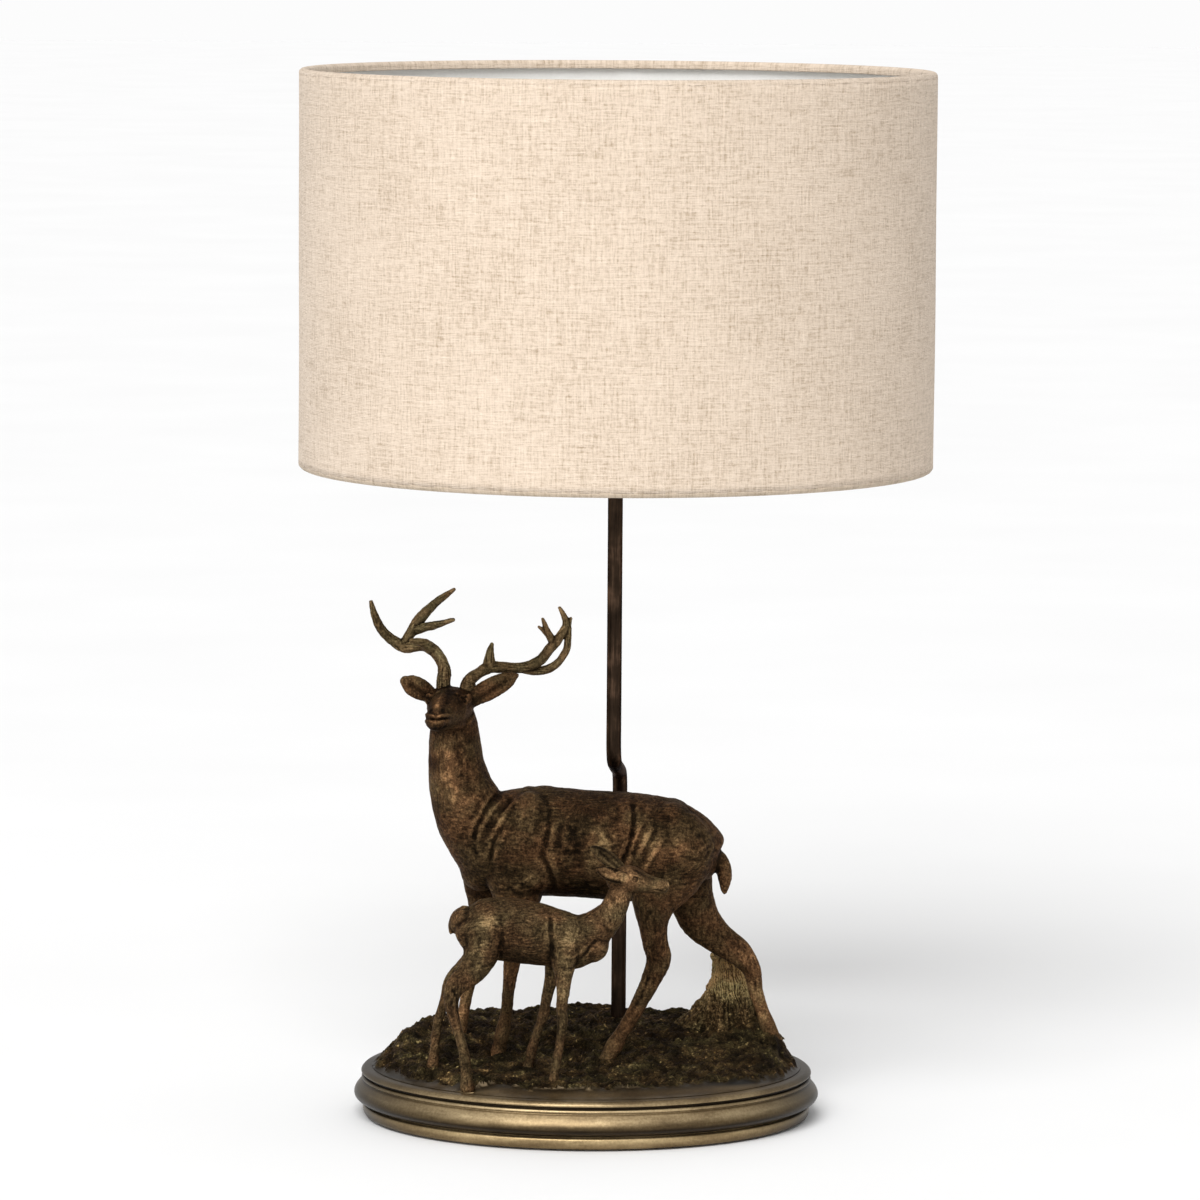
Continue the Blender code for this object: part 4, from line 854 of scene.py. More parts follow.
RIGHT_ANTLER = (
    ((-92.4, -35, 272.5, 4.4, 4.4), (-91.5, -35, 275.8, 4.6, 4.6), (-90.2, -35, 279, 4, 4),
     (-85.5, -34, 282.6, 3.4, 3.4), (-78.5, -32, 286.3, 4.0, 3.8), (-71, -30, 286.2, 3.5, 3.4),
     (-60, -28, 285.6, 3.4, 3.4), (-53, -29, 287.4, 3.4, 3.4), (-46.3, -31, 291.3, 3.3, 3.3),
     (-41, -32, 297.9, 3.4, 3.4), (-37, -32, 302.4, 3.3, 3.3), (-33.6, -31, 307, 2.8, 2.8),
     (-30.4, -30.5, 313.5, 2.3, 2.3), (-32, -31, 319.7, 1.8, 1.8), (-35, -32, 325, 1.1, 1.1)),
    ((-78.5, -32, 286, 4.6, 3.6), (-78.4, -34, 292, 3.5, 3.2), (-77.8, -35, 297, 2.5, 2.4),
     (-76.7, -36, 301.5, 1.3, 1.3)),
    ((-58, -28, 285, 2.8, 2.8), (-50, -27, 283.6, 2.7, 2.7), (-41, -27, 285.2, 2.8, 2.8),
     (-34.6, -28, 290.2, 2.5, 2.5), (-30.4, -29, 297, 2.3, 2.3), (-29.2, -29.5, 304, 2.3, 2.3),
     (-28.8, -30, 311, 2.0, 2.0)),
    ((-37.6, -32, 301, 2.9, 2.9), (-41.6, -33, 308.5, 2.3, 2.3), (-43.7, -34, 314, 1.6, 1.6),
     (-45.2, -34, 317.4, 1.1, 1.1)),
    ((-29.4, -30, 311, 2, 2), (-27.5, -30, 317.5, 1.1, 1.1)),
    ((-42, -33, 307.5, 1.9, 1.9), (-47.5, -34, 312.4, 1, 1)),
)

FAWN_TRUNK = (
    (-92, -88, 134, 9.5, 9.5), (-86, -88, 132.5, 16, 13.5), (-76, -88, 130.5, 19, 15.5),
    (-62, -88, 129, 20, 16), (-48, -88, 127, 19.5, 16), (-34, -88, 124, 18, 15), (-22, -88, 121, 16.5, 13.5),
    (-12, -88, 120, 11, 10),
)
FAWN_NECK = (
    (-22, -88, 124, 15, 12), (-11, -88, 130, 12, 9.5), (-1, -88, 140, 9, 7.6), (4, -88, 151, 7.6, 7),
    (7, -88, 159, 7.5, 7),
)
FAWN_HEAD = (
    (3, -88, 161, 7, 7), (9, -89, 161.8, 8.6, 8.2), (14.5, -89.3, 160.8, 8.0, 7.8),
    (20, -89.6, 159.3, 6.2, 6), (26.5, -90, 158.2, 5.1, 4.8), (31, -90, 157.6, 4.5, 4.2),
)
FAWN_EARS = (
    ((6, -82, 165.5, 3.6, 3), (-1, -80, 171.5, 4.9, 2.4), (-8, -79, 176.5, 4.2, 2.1),
     (-13, -78, 179.7, 1.7, 1.3)),
    ((8, -96, 162.5, 3.6, 3), (1.5, -98, 165, 4.9, 2.4), (-4.5, -99, 167.3, 4.2, 2.1),
     (-9.7, -99, 169.2, 1.7, 1.3)),
)
FAWN_TAIL = (
    (-92, -88, 141, 3.6, 3.6), (-97.6, -88, 137.5, 2.6, 3.0), (-99.9, -88, 132.5, 2.3, 2.8),
    (-100.3, -88, 127, 1.2, 1.5),
)
FAWN_LEGS = (
    ((-82, -97, 130, 16, 9), (-81, -101, 118, 12, 8), (-87, -104, 106, 9, 6.2), (-97, -107, 96.5, 6.4, 4.8),
     (-99.3, -108, 88, 5.0, 3.9), (-97.5, -109, 76, 3.6, 3.3), (-93, -110, 62, 3.2, 3.1),
     (-90.7, -111, 51, 3.9, 3.6), (-90, -111.5, 44, 3.3, 3.1), (-89, -112, 34, 4.8, 4.4)),
    ((-30, -97, 122, 10, 8), (-30, -101, 110, 7.6, 6.2), (-30, -104, 98, 4.7, 4.4),
     (-31, -107, 84, 3.6, 3.5), (-30.5, -108, 76, 3.5, 3.4), (-32, -109, 62, 2.7, 2.7),
     (-34.3, -111, 50, 3.4, 3.3), (-35.2, -111.5, 43, 2.9, 2.9), (-36, -112, 34, 4.6, 4.2)),
    ((-80, -79, 128, 10, 9), (-82, -76, 115, 8, 7), (-91, -73, 104, 6, 5.2), (-100, -71, 94, 5.0, 4.1),
     (-104, -71, 82, 3.6, 3.3), (-108, -70, 70, 3.1, 3), (-110, -70, 58, 3.2, 3.1), (-111, -70, 48, 3.1, 3),
     (-112, -70, 38, 4.3, 4)),
    ((-34, -80, 120, 9, 8), (-36, -76, 108, 6.2, 5.2), (-38, -73, 96, 4.3, 4), (-41, -71, 82, 3.6, 3.4),
     (-43, -70, 72, 3.4, 3.2), (-47, -70, 60, 2.9, 2.9), (-50, -70, 50, 3.4, 3.2), (-51, -70, 44, 3, 3),
     (-52, -70, 38, 4.3, 4)),
)
FAWN_MASSES = (
    ((-80, -95, 128), (12, 9, 16), 0), ((-80, -81, 128), (12, 9, 16), 0), ((-30, -95, 122), (10, 8, 14), 12),
    ((-30, -81, 122), (10, 8, 14), 12), ((-55, -93, 127), (16, 10.5, 15), 0),
    ((-55, -83, 127), (16, 10.5, 15), 0), ((13.6, -95.2, 162.8), (1.9, 1.9, 1.9), 0),
    ((13.6, -82.8, 162.8), (1.9, 1.9, 1.9), 0),
)
FAWN_FOLDS = (
    (((-69, 139), (-68, 130), (-70, 118), (-76, 110)), 1.7, -1.0),
    (((-38, 140), (-38, 128), (-36, 112)), 1.3, -1.5),
    (((-42, 136), (-42, 124), (-41, 112)), 2.4, 0.4),
    (((-32, 110), (-27, 108), (-20, 112), (-14, 120), (-8, 128)), 1.2, -0.7),
    (((-30, 116), (-22, 116), (-16, 122)), 1.2, 0.5),
    (((-12, 140), (-6, 134), (0, 128)), 1.4, -0.4),
    (((-82, 128), (-84, 118), (-88, 108)), 1.3, -0.7),
    (((-78, 126), (-80, 116), (-84, 106)), 1.4, 0.5),
    (((-92, 132), (-90, 122), (-92, 112)), 1.4, -0.5),
    (((-6, 156), (-1, 150), (3, 146)), 1.2, -0.5),
    (((9, 152.5), (14, 154), (18, 153.8)), 1.0, -0.5),
    (((-97, 92), (-97, 82), (-94, 68), (-91, 56)), 0.9, 0.5),
    (((-30, 92), (-31, 78), (-33, 62)), 0.8, 0.5),
    (((-99, 96), (-96, 90), (-95, 80)), 0.9, -0.5),
)
FAWN_FACE = (
    (((20, -96, 155.6), (27, -94.4, 155.8), (33.5, -90, 156), (27, -85.4, 155.8), (20, -83, 155.6)), 0.6,
     -0.9),
    (((10, -96.4, 165.4), (13.5, -96.6, 165.6), (17, -95.6, 163.8)), 0.7, 0.6),
    (((10, -81.6, 165.4), (13.5, -81.4, 165.6), (17, -82.4, 163.8)), 0.7, 0.6),
    (((16.5, -96, 161.5), (20, -95, 159.8)), 0.6, -0.5),
    (((16.5, -82, 161.5), (20, -83, 159.8)), 0.6, -0.5),
)
FAWN_LINES = (
    (((4.5, -98, 163.8), (-1, -100, 165.8), (-6.5, -101, 168)), 1.4, 1.3),
    (((9, -97, 161.4), (2, -99.5, 161.6), (-4, -100.5, 163.6), (-10.2, -100.5, 168.6)), 0.8, -1.5),
    (((9, -96, 166.4), (2, -98, 169.0), (-4, -99, 171.2), (-10.2, -99.5, 170.2)), 0.8, -1.5),
    (((3, -82, 169), (-3, -82, 173.5), (-9, -81, 177.4)), 1.3, 0.5),
    (((7, -84, 168.6), (-1, -82, 175.6), (-9, -80, 180), (-14, -79, 180.6)), 0.9, -1.3),
    (((20, -96.5, 155.4), (27, -95, 155.4), (34, -91, 155.8)), 0.7, -1.0),
    (((26, -93, 162.2), (20, -94, 165), (12, -94, 169)), 1.0, -0.9),
    (((33.6, -93, 160.4), (35.2, -91, 158.4)), 1.2, 1.0),
    (((35.4, -92, 160.8), (36, -91, 157)), 0.7, -1.2),
)
FAWN_SPOTS = (
    ((33.2, -92.2, 159.2), 0.8, -0.9), ((33.2, -87.8, 159.2), 0.8, -0.9), ((32.5, -90, 161), 1.4, 0.4),
)
FAWN_EYES = ((13.8, -96.6, 162.8), (13.8, -81.6, 162.8))
FAWN_EAR_CUPS = (
    (((3, 168), (-3, 173), (-9, 177.2)), 1.7, -1.6),
    (((4.5, 163.8), (-1, 165.8), (-6.5, 168)), 1.7, -1.6),
)
# Where the fawn's wash is rubbed through, and darker spots, of which the one under its belly is painted
# shade: x, z, radius, strength
FAWN_RUBS_AND_SHADE = (
    (-77, 137, 5.5, 1.0), (-82, 123, 6, 0.45), (-86, 112, 5, 0.25), (-26, 127, 6, 0.65), (-30, 118, 7, 0.3),
    (-54, 128, 10, 0.05), (9, 164, 5, 1.0), (19, 160, 5.5, 0.65), (28, 158.5, 4.5, 0.65),
    (14, 163.2, 1.5, -1.0), (6, 154, 5, 0.5), (2, 148, 8, 0.35), (-4, 138, 7, 0.3), (-92, 66, 11, 0.05),
    (-31, 72, 12, -0.1), (-90, 50, 7, -0.3), (-34, 50, 8, -0.2), (-60, 112, 14, -0.45), (-70, 146, 14, -0.2),
    (-38, 120, 4, -0.5), (-90, 126, 5, -0.3), (-88, 40, 6, 0.2),
)


def skins_of(trunk, neck, head, head_side, limbs, masses):
    made = [loft(trunk, sides=40), loft(neck, sides=32), loft(head, head_side)]
    made += [loft(limb, sides=20) for limb in limbs]
    made += [ball(*mass) for mass in masses]
    return made


def carve(relief, folds, face, spots, eyes, cups, eye_radius, eye_depth):
    """Works the folds, the face, the eyes and the ears into a relaxed skin."""
    height = np.zeros(relief.count)
    uneven = 0.72 + 0.75 * relief.lumps(8.0, 2, 2)
    for path, width, rise in folds:
        for side in (NEAR, FAR):
            height += rise * uneven * relief.stroke(path, 1.2 * width, side)
    relief.raise_by(height)
    height = np.zeros(relief.count)
    for strokes, side in ((cups, NEAR), (face, BOTH)):
        for path, width, rise in strokes:
            height += rise * relief.stroke(path, width, side)
    for centre, radius, rise in spots:
        height += rise * relief.spot(centre, radius)
    for eye in eyes:
        gap = np.linalg.norm(relief.points - np.array(eye), axis=1) / eye_radius
        height += 0.15 * eye_radius * np.exp(-((gap / 0.55) ** 2))
        height -= eye_depth * eye_radius * np.exp(-(((gap - 0.95) / 0.24) ** 2))
        height += 0.45 * eye_depth * eye_radius * np.exp(-(((gap - 1.38) / 0.26) ** 2))
    relief.raise_by(height)


def steepness(flow):
    """0 where the hair lies along the body, 1 where it hangs."""
    return fade(np.abs(flow[:, 2]) - np.abs(flow[:, 0]), -0.25, 0.25)


def coat(relief, flow, rubs, lines, seed, depth, coated):
    """Cuts the hair into the skin, as deep as coated, and stores what the bronze wash reads, with painted
    light and painted shade in its rubbed share.
    """
    fine = relief.hairs(flow, seed, 0, 3)
    broad = relief.hairs(flow, seed + 1, 2, 4)
    relief.raise_by(depth * coated * (0.75 * fine + 0.9 * broad) + 0.22 * relief.lumps(8.0, seed))
    rub = np.zeros(relief.count)
    for x, z, radius, strength in rubs:
        rub += strength * (relief.spot((x, z), radius, NEAR) + relief.spot((x, z), radius, FAR))
    for path, width, strength in lines:
        rub += strength * relief.stroke(path, width)
    # Painted light: faces that look up are lighter and those that look down darker. The fawn's lower legs are
    # darker.
    fawn_legs = fade(-relief.points[:, 2], -96, -82) * fade(-relief.points[:, 1], 60, 66)
    rub += 0.036 * np.clip(relief.normals[:, 2], -1, 1) - 0.30 * fawn_legs
    detail = 0.55 * relief.height_over(3) + 0.35 * relief.height_over(14)
    relief.store(
        relief=np.clip(detail, -1.5, 2.0), fur=np.clip(0.6 * fine + 0.6 * broad, -2.5, 2.5), rub=rub,
        upright=steepness(flow), coated=coated,
    )


def wander(relief, flow, size, seed, amount):
    """Turns the flow to and fro over the surface."""
    swing = relief.lumps(size, seed, 2) * amount
    sideways = np.cross(relief.normals, flow)
    return unit(flow * np.cos(swing)[:, None] + sideways * np.sin(swing)[:, None])


def make_stag():
    limbs = (STAG_TAIL, *STAG_EARS, *STAG_LEGS)
    skins = skins_of(STAG_TRUNK, STAG_NECK, STAG_HEAD, X_AXIS, limbs, STAG_MASSES)
    skins += [loft(pedicle, X_AXIS, sides=20, flat=True) for pedicle in STAG_PEDICLES]
    mesh = fused("stag", skins, 0.95)
    refine(mesh, (-140, -80, 246), (-55, -20, 290))
    relief = Relief(mesh)
    relief.relax(14, 0.55, 0.30)
    carve(relief, STAG_FOLDS, STAG_FACE, STAG_SPOTS, STAG_EYES, STAG_EAR_CUPS, 2.5, 0.36)
    relief.relax(1, 0.4)
    x, y, z = relief.points.T
    neck = fade(z, 190, 216) * fade(-x, 60, 84)
    legs = fade(-z, -146, -122)
    head = fade(z, 246, 256) * fade(-y, 30, 48)
    trunk = np.clip(1 - neck - legs - head, 0.02, 1)
    flow = blended((
        (trunk, (0.94, 0, -0.34)), (neck, (0.12, 0, -1)), (legs, (0.05, 0, -1)), (head, (0.2, 1, 0.15)),
    ))
    flow = wander(relief, flow, 26.0, 3, 1.1)
    coated = 1 - 0.75 * np.clip(head + fade(-z, -90, -60) + fade(z, 262, 268), 0, 1)
    coat(relief, flow, STAG_RUBS_AND_SHADE, STAG_LINES, 11, 0.055, coated)
    stag = new_object("stag", mesh, stag_bronze, "base")
    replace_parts(stag, "stag_body")


def make_fawn():
    limbs = (FAWN_TAIL, *FAWN_EARS, *FAWN_LEGS)
    skins = skins_of(FAWN_TRUNK, FAWN_NECK, FAWN_HEAD, Y_AXIS, limbs, FAWN_MASSES)
    mesh = fused("fawn", skins, 0.72)
    refine(mesh, (-16, -104, 150), (40, -74, 184))
    relief = Relief(mesh)
    relief.relax(12, 0.55, 0.30)
    carve(relief, FAWN_FOLDS, FAWN_FACE, FAWN_SPOTS, FAWN_EYES, FAWN_EAR_CUPS, 1.6, 0.16)
    relief.relax(1, 0.4)
    x, y, z = relief.points.T
    neck = fade(x, -22, -4) * fade(z, 122, 140)
    legs = fade(-z, -110, -96)
    trunk = np.clip(1 - neck - legs, 0.02, 1)
    flow = blended(((trunk, (-0.96, 0, -0.28)), (neck, (-0.5, 0, -1)), (legs, (0, 0, -1))))
    flow = wander(relief, flow, 18.0, 5, 1.0)
    head = fade(x, 2, 10) * fade(z, 148, 156)
    coated = 1 - 0.65 * np.clip(head + fade(-z, -88, -70) + fade(z, 163, 168), 0, 1)
    coat(relief, flow, FAWN_RUBS_AND_SHADE, FAWN_LINES, 23, 0.045, coated)
    fawn = new_object("fawn", mesh, fawn_bronze, "base")
    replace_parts(fawn, "fawn_body")


def make_antler(name, branches, seed):
    """An antler with a knobbly burr at its foot and grooves along its beam and tines."""
    beam, *tines = branches
    skins = [loft(beam, sides=22, flat=True)] + [loft(tine, sides=18) for tine in tines]
    mesh = fused(name, skins, 0.5)
    relief = Relief(mesh)
    relief.relax(6, 0.55, 0.35)
    flow = np.zeros((relief.count, 3))
    nearest = np.full(relief.count, np.inf)
    for branch in branches:
        line = catmull(branch, 5)[:, :3]
        ways = unit(np.gradient(line, axis=0))
        for centre, way in zip(line, ways):
            gap = np.linalg.norm(relief.points - centre, axis=1)
            closer = gap < nearest
            nearest[closer] = gap[closer]
            flow[closer] = way
    flow = unit(relief.spread(relief.spread(flow)))
    grooves = relief.hairs(flow, seed, 1, 30)
    foot = relief.spot(np.array(beam[1][:3]), 6.5)
    knobs = relief.lumps(1.6, seed, 2)
    relief.raise_by(0.09 * grooves + 0.16 * relief.lumps(5, seed) + foot * (0.15 + 0.45 * knobs))
    detail = 0.6 * relief.height_over(3) + 0.5 * relief.height_over(14)
    # Mottled, with painted light: faces that look up are lighter and those that look down darker.
    rub = 0.25 * relief.lumps(12, seed + 2) + 0.15 * relief.normals[:, 2]
    relief.store(
        relief=np.clip(detail, -2.5, 2.5), fur=np.clip(grooves, -2.5, 2.5), rub=rub, upright=steepness(flow),
        coated=np.full(relief.count, 0.5),
    )
    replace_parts(new_object(name + "_horn", mesh, antler_bronze, "base"), name)


# The ground and the stump


def ground_height(x, y):
    """Height of the modelled ground in metres over places on the plinth."""
    wide = PLINTH_HALF_WIDTH - 0.012
    reach = np.hypot((x - PLINTH_CENTRE.x) / wide, (y - PLINTH_CENTRE.y) / (PLINTH_RATIO * wide))
    rise = 1 - fade(reach, 0.86, 1.0)
    height = 0.0360 + 0.0135 * fade(y, -0.095, 0.040)
    for swell, at, spread in (
        (0.0075, (0.098, 0.012), (0.024, 0.030)),
        (0.0028, (-0.105, 0.010), (0.035, 0.035)),
    ):
        height = height + swell * np.exp(-(((x - at[0]) / spread[0]) ** 2 + ((y - at[1]) / spread[1]) ** 2))
    return DECK_Z + 0.0004 + (height - DECK_Z - 0.0004) * rise


# Where the hooves stand, in millimetres: x, y, radius
HOOVES = (
    (-4, -49, 6.5), (105, -6, 6.5), (-72, -40, 6.0), (-99, -10, 6.0), (-89, -112, 4.8), (-36, -112, 4.6),
    (-112, -70, 4.3), (-52, -70, 4.3),
)
GROUND_RINGS, GROUND_STEPS = 170, 560
GROUND_INSET = 0.0112
# How far out the rough ground reaches, as a share of the way to its edge
ROUGH_REACH = 0.965


def make_ground():
    """The rough ground: clods and matted grass that spill unevenly over a smooth sloping band."""
    wide = PLINTH_HALF_WIDTH - GROUND_INSET
    share = np.linspace(0, 1, GROUND_RINGS + 1)[1:] ** 0.72
    angles = np.arange(GROUND_STEPS) * TAU / GROUND_STEPS
    x = PLINTH_CENTRE.x + wide * np.outer(share, np.cos(angles))
    y = PLINTH_CENTRE.y + PLINTH_RATIO * wide * np.outer(share, np.sin(angles))
    z = ground_height(x, y)
    low = DECK_Z + 0.0003
    edge = np.stack([x[-1], y[-1], np.full(GROUND_STEPS, low)], 1)
    top = np.stack([x, y, z], -1).reshape(-1, 3)
    middle = PLINTH_CENTRE.x, PLINTH_CENTRE.y
    points = np.concatenate([top, edge, [[*middle, float(ground_height(*middle))]], [[*middle, low]]])
    faces = [face[::-1] for face in grid_faces(GROUND_RINGS + 1, GROUND_STEPS)]
    hub = GROUND_STEPS * (GROUND_RINGS + 1)
    for k in range(GROUND_STEPS):
        n = (k + 1) % GROUND_STEPS
        faces.append((hub, k, n))
        faces.append((hub + 1, GROUND_STEPS * GROUND_RINGS + n, GROUND_STEPS * GROUND_RINGS + k))
    mesh = mesh_of("ground", points, faces)
    with editing(mesh):
        pass
    mesh.shade_smooth()
    relief = Relief(mesh)
    upper = np.zeros(relief.count)
    upper[: GROUND_STEPS * GROUND_RINGS] = 1
    upper[hub] = 1
    across = (relief.points[:, 0] * MM - PLINTH_CENTRE.x) / wide
    back = (relief.points[:, 1] * MM - PLINTH_CENTRE.y) / (PLINTH_RATIO * wide)
    reach = np.hypot(across, back)
    ragged = relief.lumps(16.0, 4, 4, 0.6)
    front = fade(-back, 0.1, 0.95)
    gaps = [(np.hypot(relief.points[:, 0] - x, relief.points[:, 1] - y), radius) for x, y, radius in HOOVES]
    limit = ROUGH_REACH - 0.100 * front
    for gap, _ in gaps:
        limit = limit + 0.055 * np.exp(-((gap / 13.0) ** 2))
    limit = np.minimum(limit, ROUGH_REACH)
    rough = upper * (1 - fade(reach + (0.030 + 0.025 * front) * ragged, limit, limit + 0.022))
    flow = unit(np.stack([np.ones(relief.count), 0.3 * np.ones(relief.count), np.zeros(relief.count)], 1))
    flow = wander(relief, flow, 22.0, 8, 2.6)
    matted = relief.hairs(flow, 31, 1, 10)
    clods = relief.lumps(12.0, 6, 5, 0.66)
    ridges = 1 - np.abs(relief.lumps(22.0, 9, 4, 0.55)) * 2.4
    grit = relief.lumps(4.2, 12, 2)
    height = rough * (1.0 + 2.4 * clods + 1.5 * np.clip(ridges, -0.6, 1) + 0.34 * matted + 0.9 * grit)
    for gap, radius in gaps:
        height += upper * 1.6 * np.exp(-(((gap - radius - 3.0) / 3.0) ** 2)) * rough
        height -= upper * 1.0 * np.exp(-((gap / (radius + 1.0)) ** 4))
    relief.points = relief.points + np.array([0, 0, 1.0]) * (height * upper)[:, None]
    relief.write()
    relief.relax(1, 0.35)
    detail = 0.55 * relief.height_over(3) + 0.6 * relief.height_over(18)
    # Mottled on the rough ground, and a little lighter towards the front.
    rub = (0.75 * relief.lumps(11, 15, 3) + 0.10 * front) * rough
    # The gold band is darker along the rough ground's edge, with painted shade round the sides.
    at_edge = 0.7 * (1 - fade(reach - limit, 0.01, 0.075))
    relief.store(
        relief=np.clip(detail, -2.5, 2.5) * rough, fur=np.clip(matted, -2.5, 2.5) * rough, rub=rub,
        upright=0.5 + 0.5 * relief.lumps(20, 17, 2), coated=np.ones(relief.count),
        dirt=np.clip(at_edge + 0.8 * round_the_side(relief.points), 0, 0.85),
    )
    ground = new_object("ground", mesh, ground_bronze, "base")
    mesh.materials.append(gold_paint)
    for face in mesh.polygons:
        face.material_index = int(np.mean(1 - rough[list(face.vertices)]) > 0.5)
    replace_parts(ground, "groundwork")


STUMP_ROWS = (
    (68, 22, 42, 36, 19), (68, 22, 48, 32, 17.5), (70.5, 22, 57, 23.5, 15.5), (73.5, 22, 68, 16.8, 14),
    (75.2, 22, 80, 12.2, 12.4), (75.7, 22, 90, 10.9, 11.8), (75.5, 22, 95.5, 11.2, 12),
)


def bark_noise(angles, heights, size, rough, lacunarity, octaves):
    """Noise that runs round a trunk without a seam."""
    return np.array([
        noise.fractal(Vector((size * math.cos(a), size * math.sin(a), h)), rough, lacunarity, octaves)
        for a, h in zip(angles, heights)
    ])


def make_stump():
    """A broken tree stump: roots at its foot, furrowed bark and a splintered hollow top."""
    levels, sides = 170, 300
    rows = catmull(STUMP_ROWS, 40)
    rows = rows[np.linspace(0, len(rows) - 1, levels).astype(int)]
    angles = np.arange(sides) * TAU / sides
    points = []

    def add_ring(x, y, z, tall, wide, share):
        points.append(np.stack([x + tall * share * np.cos(angles), y + wide * share * np.sin(angles),
                                np.full(sides, z)], 1))

    for i, row in enumerate(rows):
        foot = 1 - i / (levels - 1)
        roots = 1 + 0.13 * foot**2 * (np.cos(5 * angles + 0.6) + 0.5 * np.cos(9 * angles + 2.0))
        add_ring(*row, roots)
    x, y, z, tall, wide = rows[-1]
    for share in (0.93, 0.84, 0.72, 0.58, 0.44, 0.30, 0.16, 0.05):
        add_ring(x, y, z - 1.2 * (1 - share) - 0.6, tall, wide, share)
    rings = len(points)
    points = np.concatenate(points)
    faces = grid_faces(rings, sides)
    faces.append(tuple(range((rings - 1) * sides, rings * sides)))
    faces.append(tuple(range(sides))[::-1])
    mesh = mesh_of("stump", points * MM, faces)
    relief = Relief(mesh)
    x, y, z = relief.points.T
    side = 1 - fade(np.abs(relief.normals[:, 2]), 0.75, 0.95)
    around = np.arctan2(y - 22, x - 74)
    lean = around + 0.012 * (z - 70) + 0.12 * relief.lumps(14, 20, 2)
    furrow = bark_noise(lean, z / 34, 3.3, 0.6, 2.1, 4)
    fine = bark_noise(lean, z / 16, 15, 0.6, 2.1, 3)
    bare = 0.30 + 0.70 * fade(z, 56, 76)
    height = side * bare * (1.3 * furrow + 0.9 * fine) + (1 - side) * 0.25 * relief.lumps(2.5, 21, 3)
    height += side * (1.5 * relief.lumps(11, 23, 3) + 0.6 * relief.lumps(4, 24, 3))
    relief.raise_by(height)
    rim = fade(z, 92, 95.5)
    relief.points[:, 2] += rim * 1.6 * bark_noise(around, 0 * around, 2.6, 0.6, 2, 3)
    relief.points[:, 2] = np.minimum(relief.points[:, 2], 97.5)
    relief.write()
    detail = 0.6 * relief.height_over(3) + 0.6 * relief.height_over(14)
    # Lighter on the upper part of the stump and darker towards the bottom, with mottling.
    rub = 1.1 * fade(z, 62, 80) - 0.15 + 0.25 * relief.lumps(9, 22, 3)
    full = np.ones(relief.count)
    relief.store(
        relief=np.clip(detail, -2.5, 2.5), fur=np.clip(3 * fine, -2.5, 2.5), rub=rub, upright=full,
        coated=full,
    )
    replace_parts(new_object("stump", mesh, stump_bronze, "base"), "tree_stump")


# The plinth


def round_the_side(points):
    """From 0 at the plinth's front to 1 round its sides and back, where the gilt is darkened as painted
    shade.
    """
    x = points[:, 0] - 1000 * PLINTH_CENTRE.x
    y = (points[:, 1] - 1000 * PLINTH_CENTRE.y) / PLINTH_RATIO
    return fade(np.degrees(np.arctan2(np.abs(x), -y)), 24, 82)


# The plinth's side under its top edge, in millimetres: in from its half width, up from the floor
PLINTH_SIDE = (
    (5.2, 27.7), (7.0, 27.2), (7.3, 26.7), (7.0, 26.2), (5.5, 25.7), (4.9, 25.0), (4.9, 24.3), (5.7, 23.6),
    (5.7, 23.2), (4.7, 22.2), (2.8, 20.2), (1.0, 17.8), (0.1, 15.2), (0.7, 12.8), (3.0, 10.9), (6.4, 9.8),
    (8.4, 9.2), (8.6, 8.6), (7.8, 8.1), (6.3, 7.8), (5.7, 6.8), (5.6, 5.0), (6.0, 2.8),
)
PLINTH_WALL = 0.005


def make_plinth():
    full = PLINTH_HALF_WIDTH
    edge = [
        (full - 0.0105, DECK_Z), (full - 0.0070, DECK_Z - 0.0006), (full - 0.0051, DECK_Z - 0.0020),
        (full - 0.0046, DECK_Z - 0.0032), *((full - inset * MM, z * MM) for inset, z in PLINTH_SIDE),
        (full - 0.0068, PLINTH_FOOT),
    ]
    rebate, ledge = COVER_HALF_WIDTH + 0.0003, 0.0045
    under = DECK_Z - PLINTH_WALL
    inside = [
        (rebate, PLINTH_FOOT), (rebate, ledge), (rebate - ledge, ledge), (rebate - ledge, under),
        (0.0, under),
    ]
    outer = [tuple(p) for p in catmull(edge, 6)]
    profile = [(0.0, DECK_Z), (full - 0.030, DECK_Z), *outer, *inside]
    mesh = lathe("plinth_gilt", profile, 420, PLINTH_CENTRE, PLINTH_RATIO, ring=False)
    mesh.transform(Matrix.Translation((0, 0, -PLINTH_CENTRE.z)))
    relief = Relief(mesh)
    detail = 0.5 * relief.height_over(4) + 0.7 * relief.height_over(14)
    # Painted shade round the plinth's sides and back.
    relief.store(relief=np.clip(detail, -2.0, 2.0), dirt=0.80 * round_the_side(relief.points))
    crease(mesh, 50)
    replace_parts(new_object("plinth_gilt", mesh, gold_paint, "base"), "plinth")


# The tube

TUBE_BEND = (
    (4.2, 42, 190), (4.2, 41.7, 202), (3.8, 37.5, 210.5), (2.8, 27, 214.5), (1.4, 14, 218.5), (0.4, 4, 223),
    (0, 0.3, 232), (0, 0, 244),
)
TUBE_FOOT = (4.2, 42)
TUBE_BORE = 3.9


def round_ring(centre, way, radius, angles):
    """Points round a path, at a radius that may change with the angle."""
    across = unit(np.array((1.0, 0, 0)) - way * way[0])
    up = np.cross(way, across)
    return centre + np.outer(np.cos(angles) * radius, across) + np.outer(np.sin(angles) * radius, up)


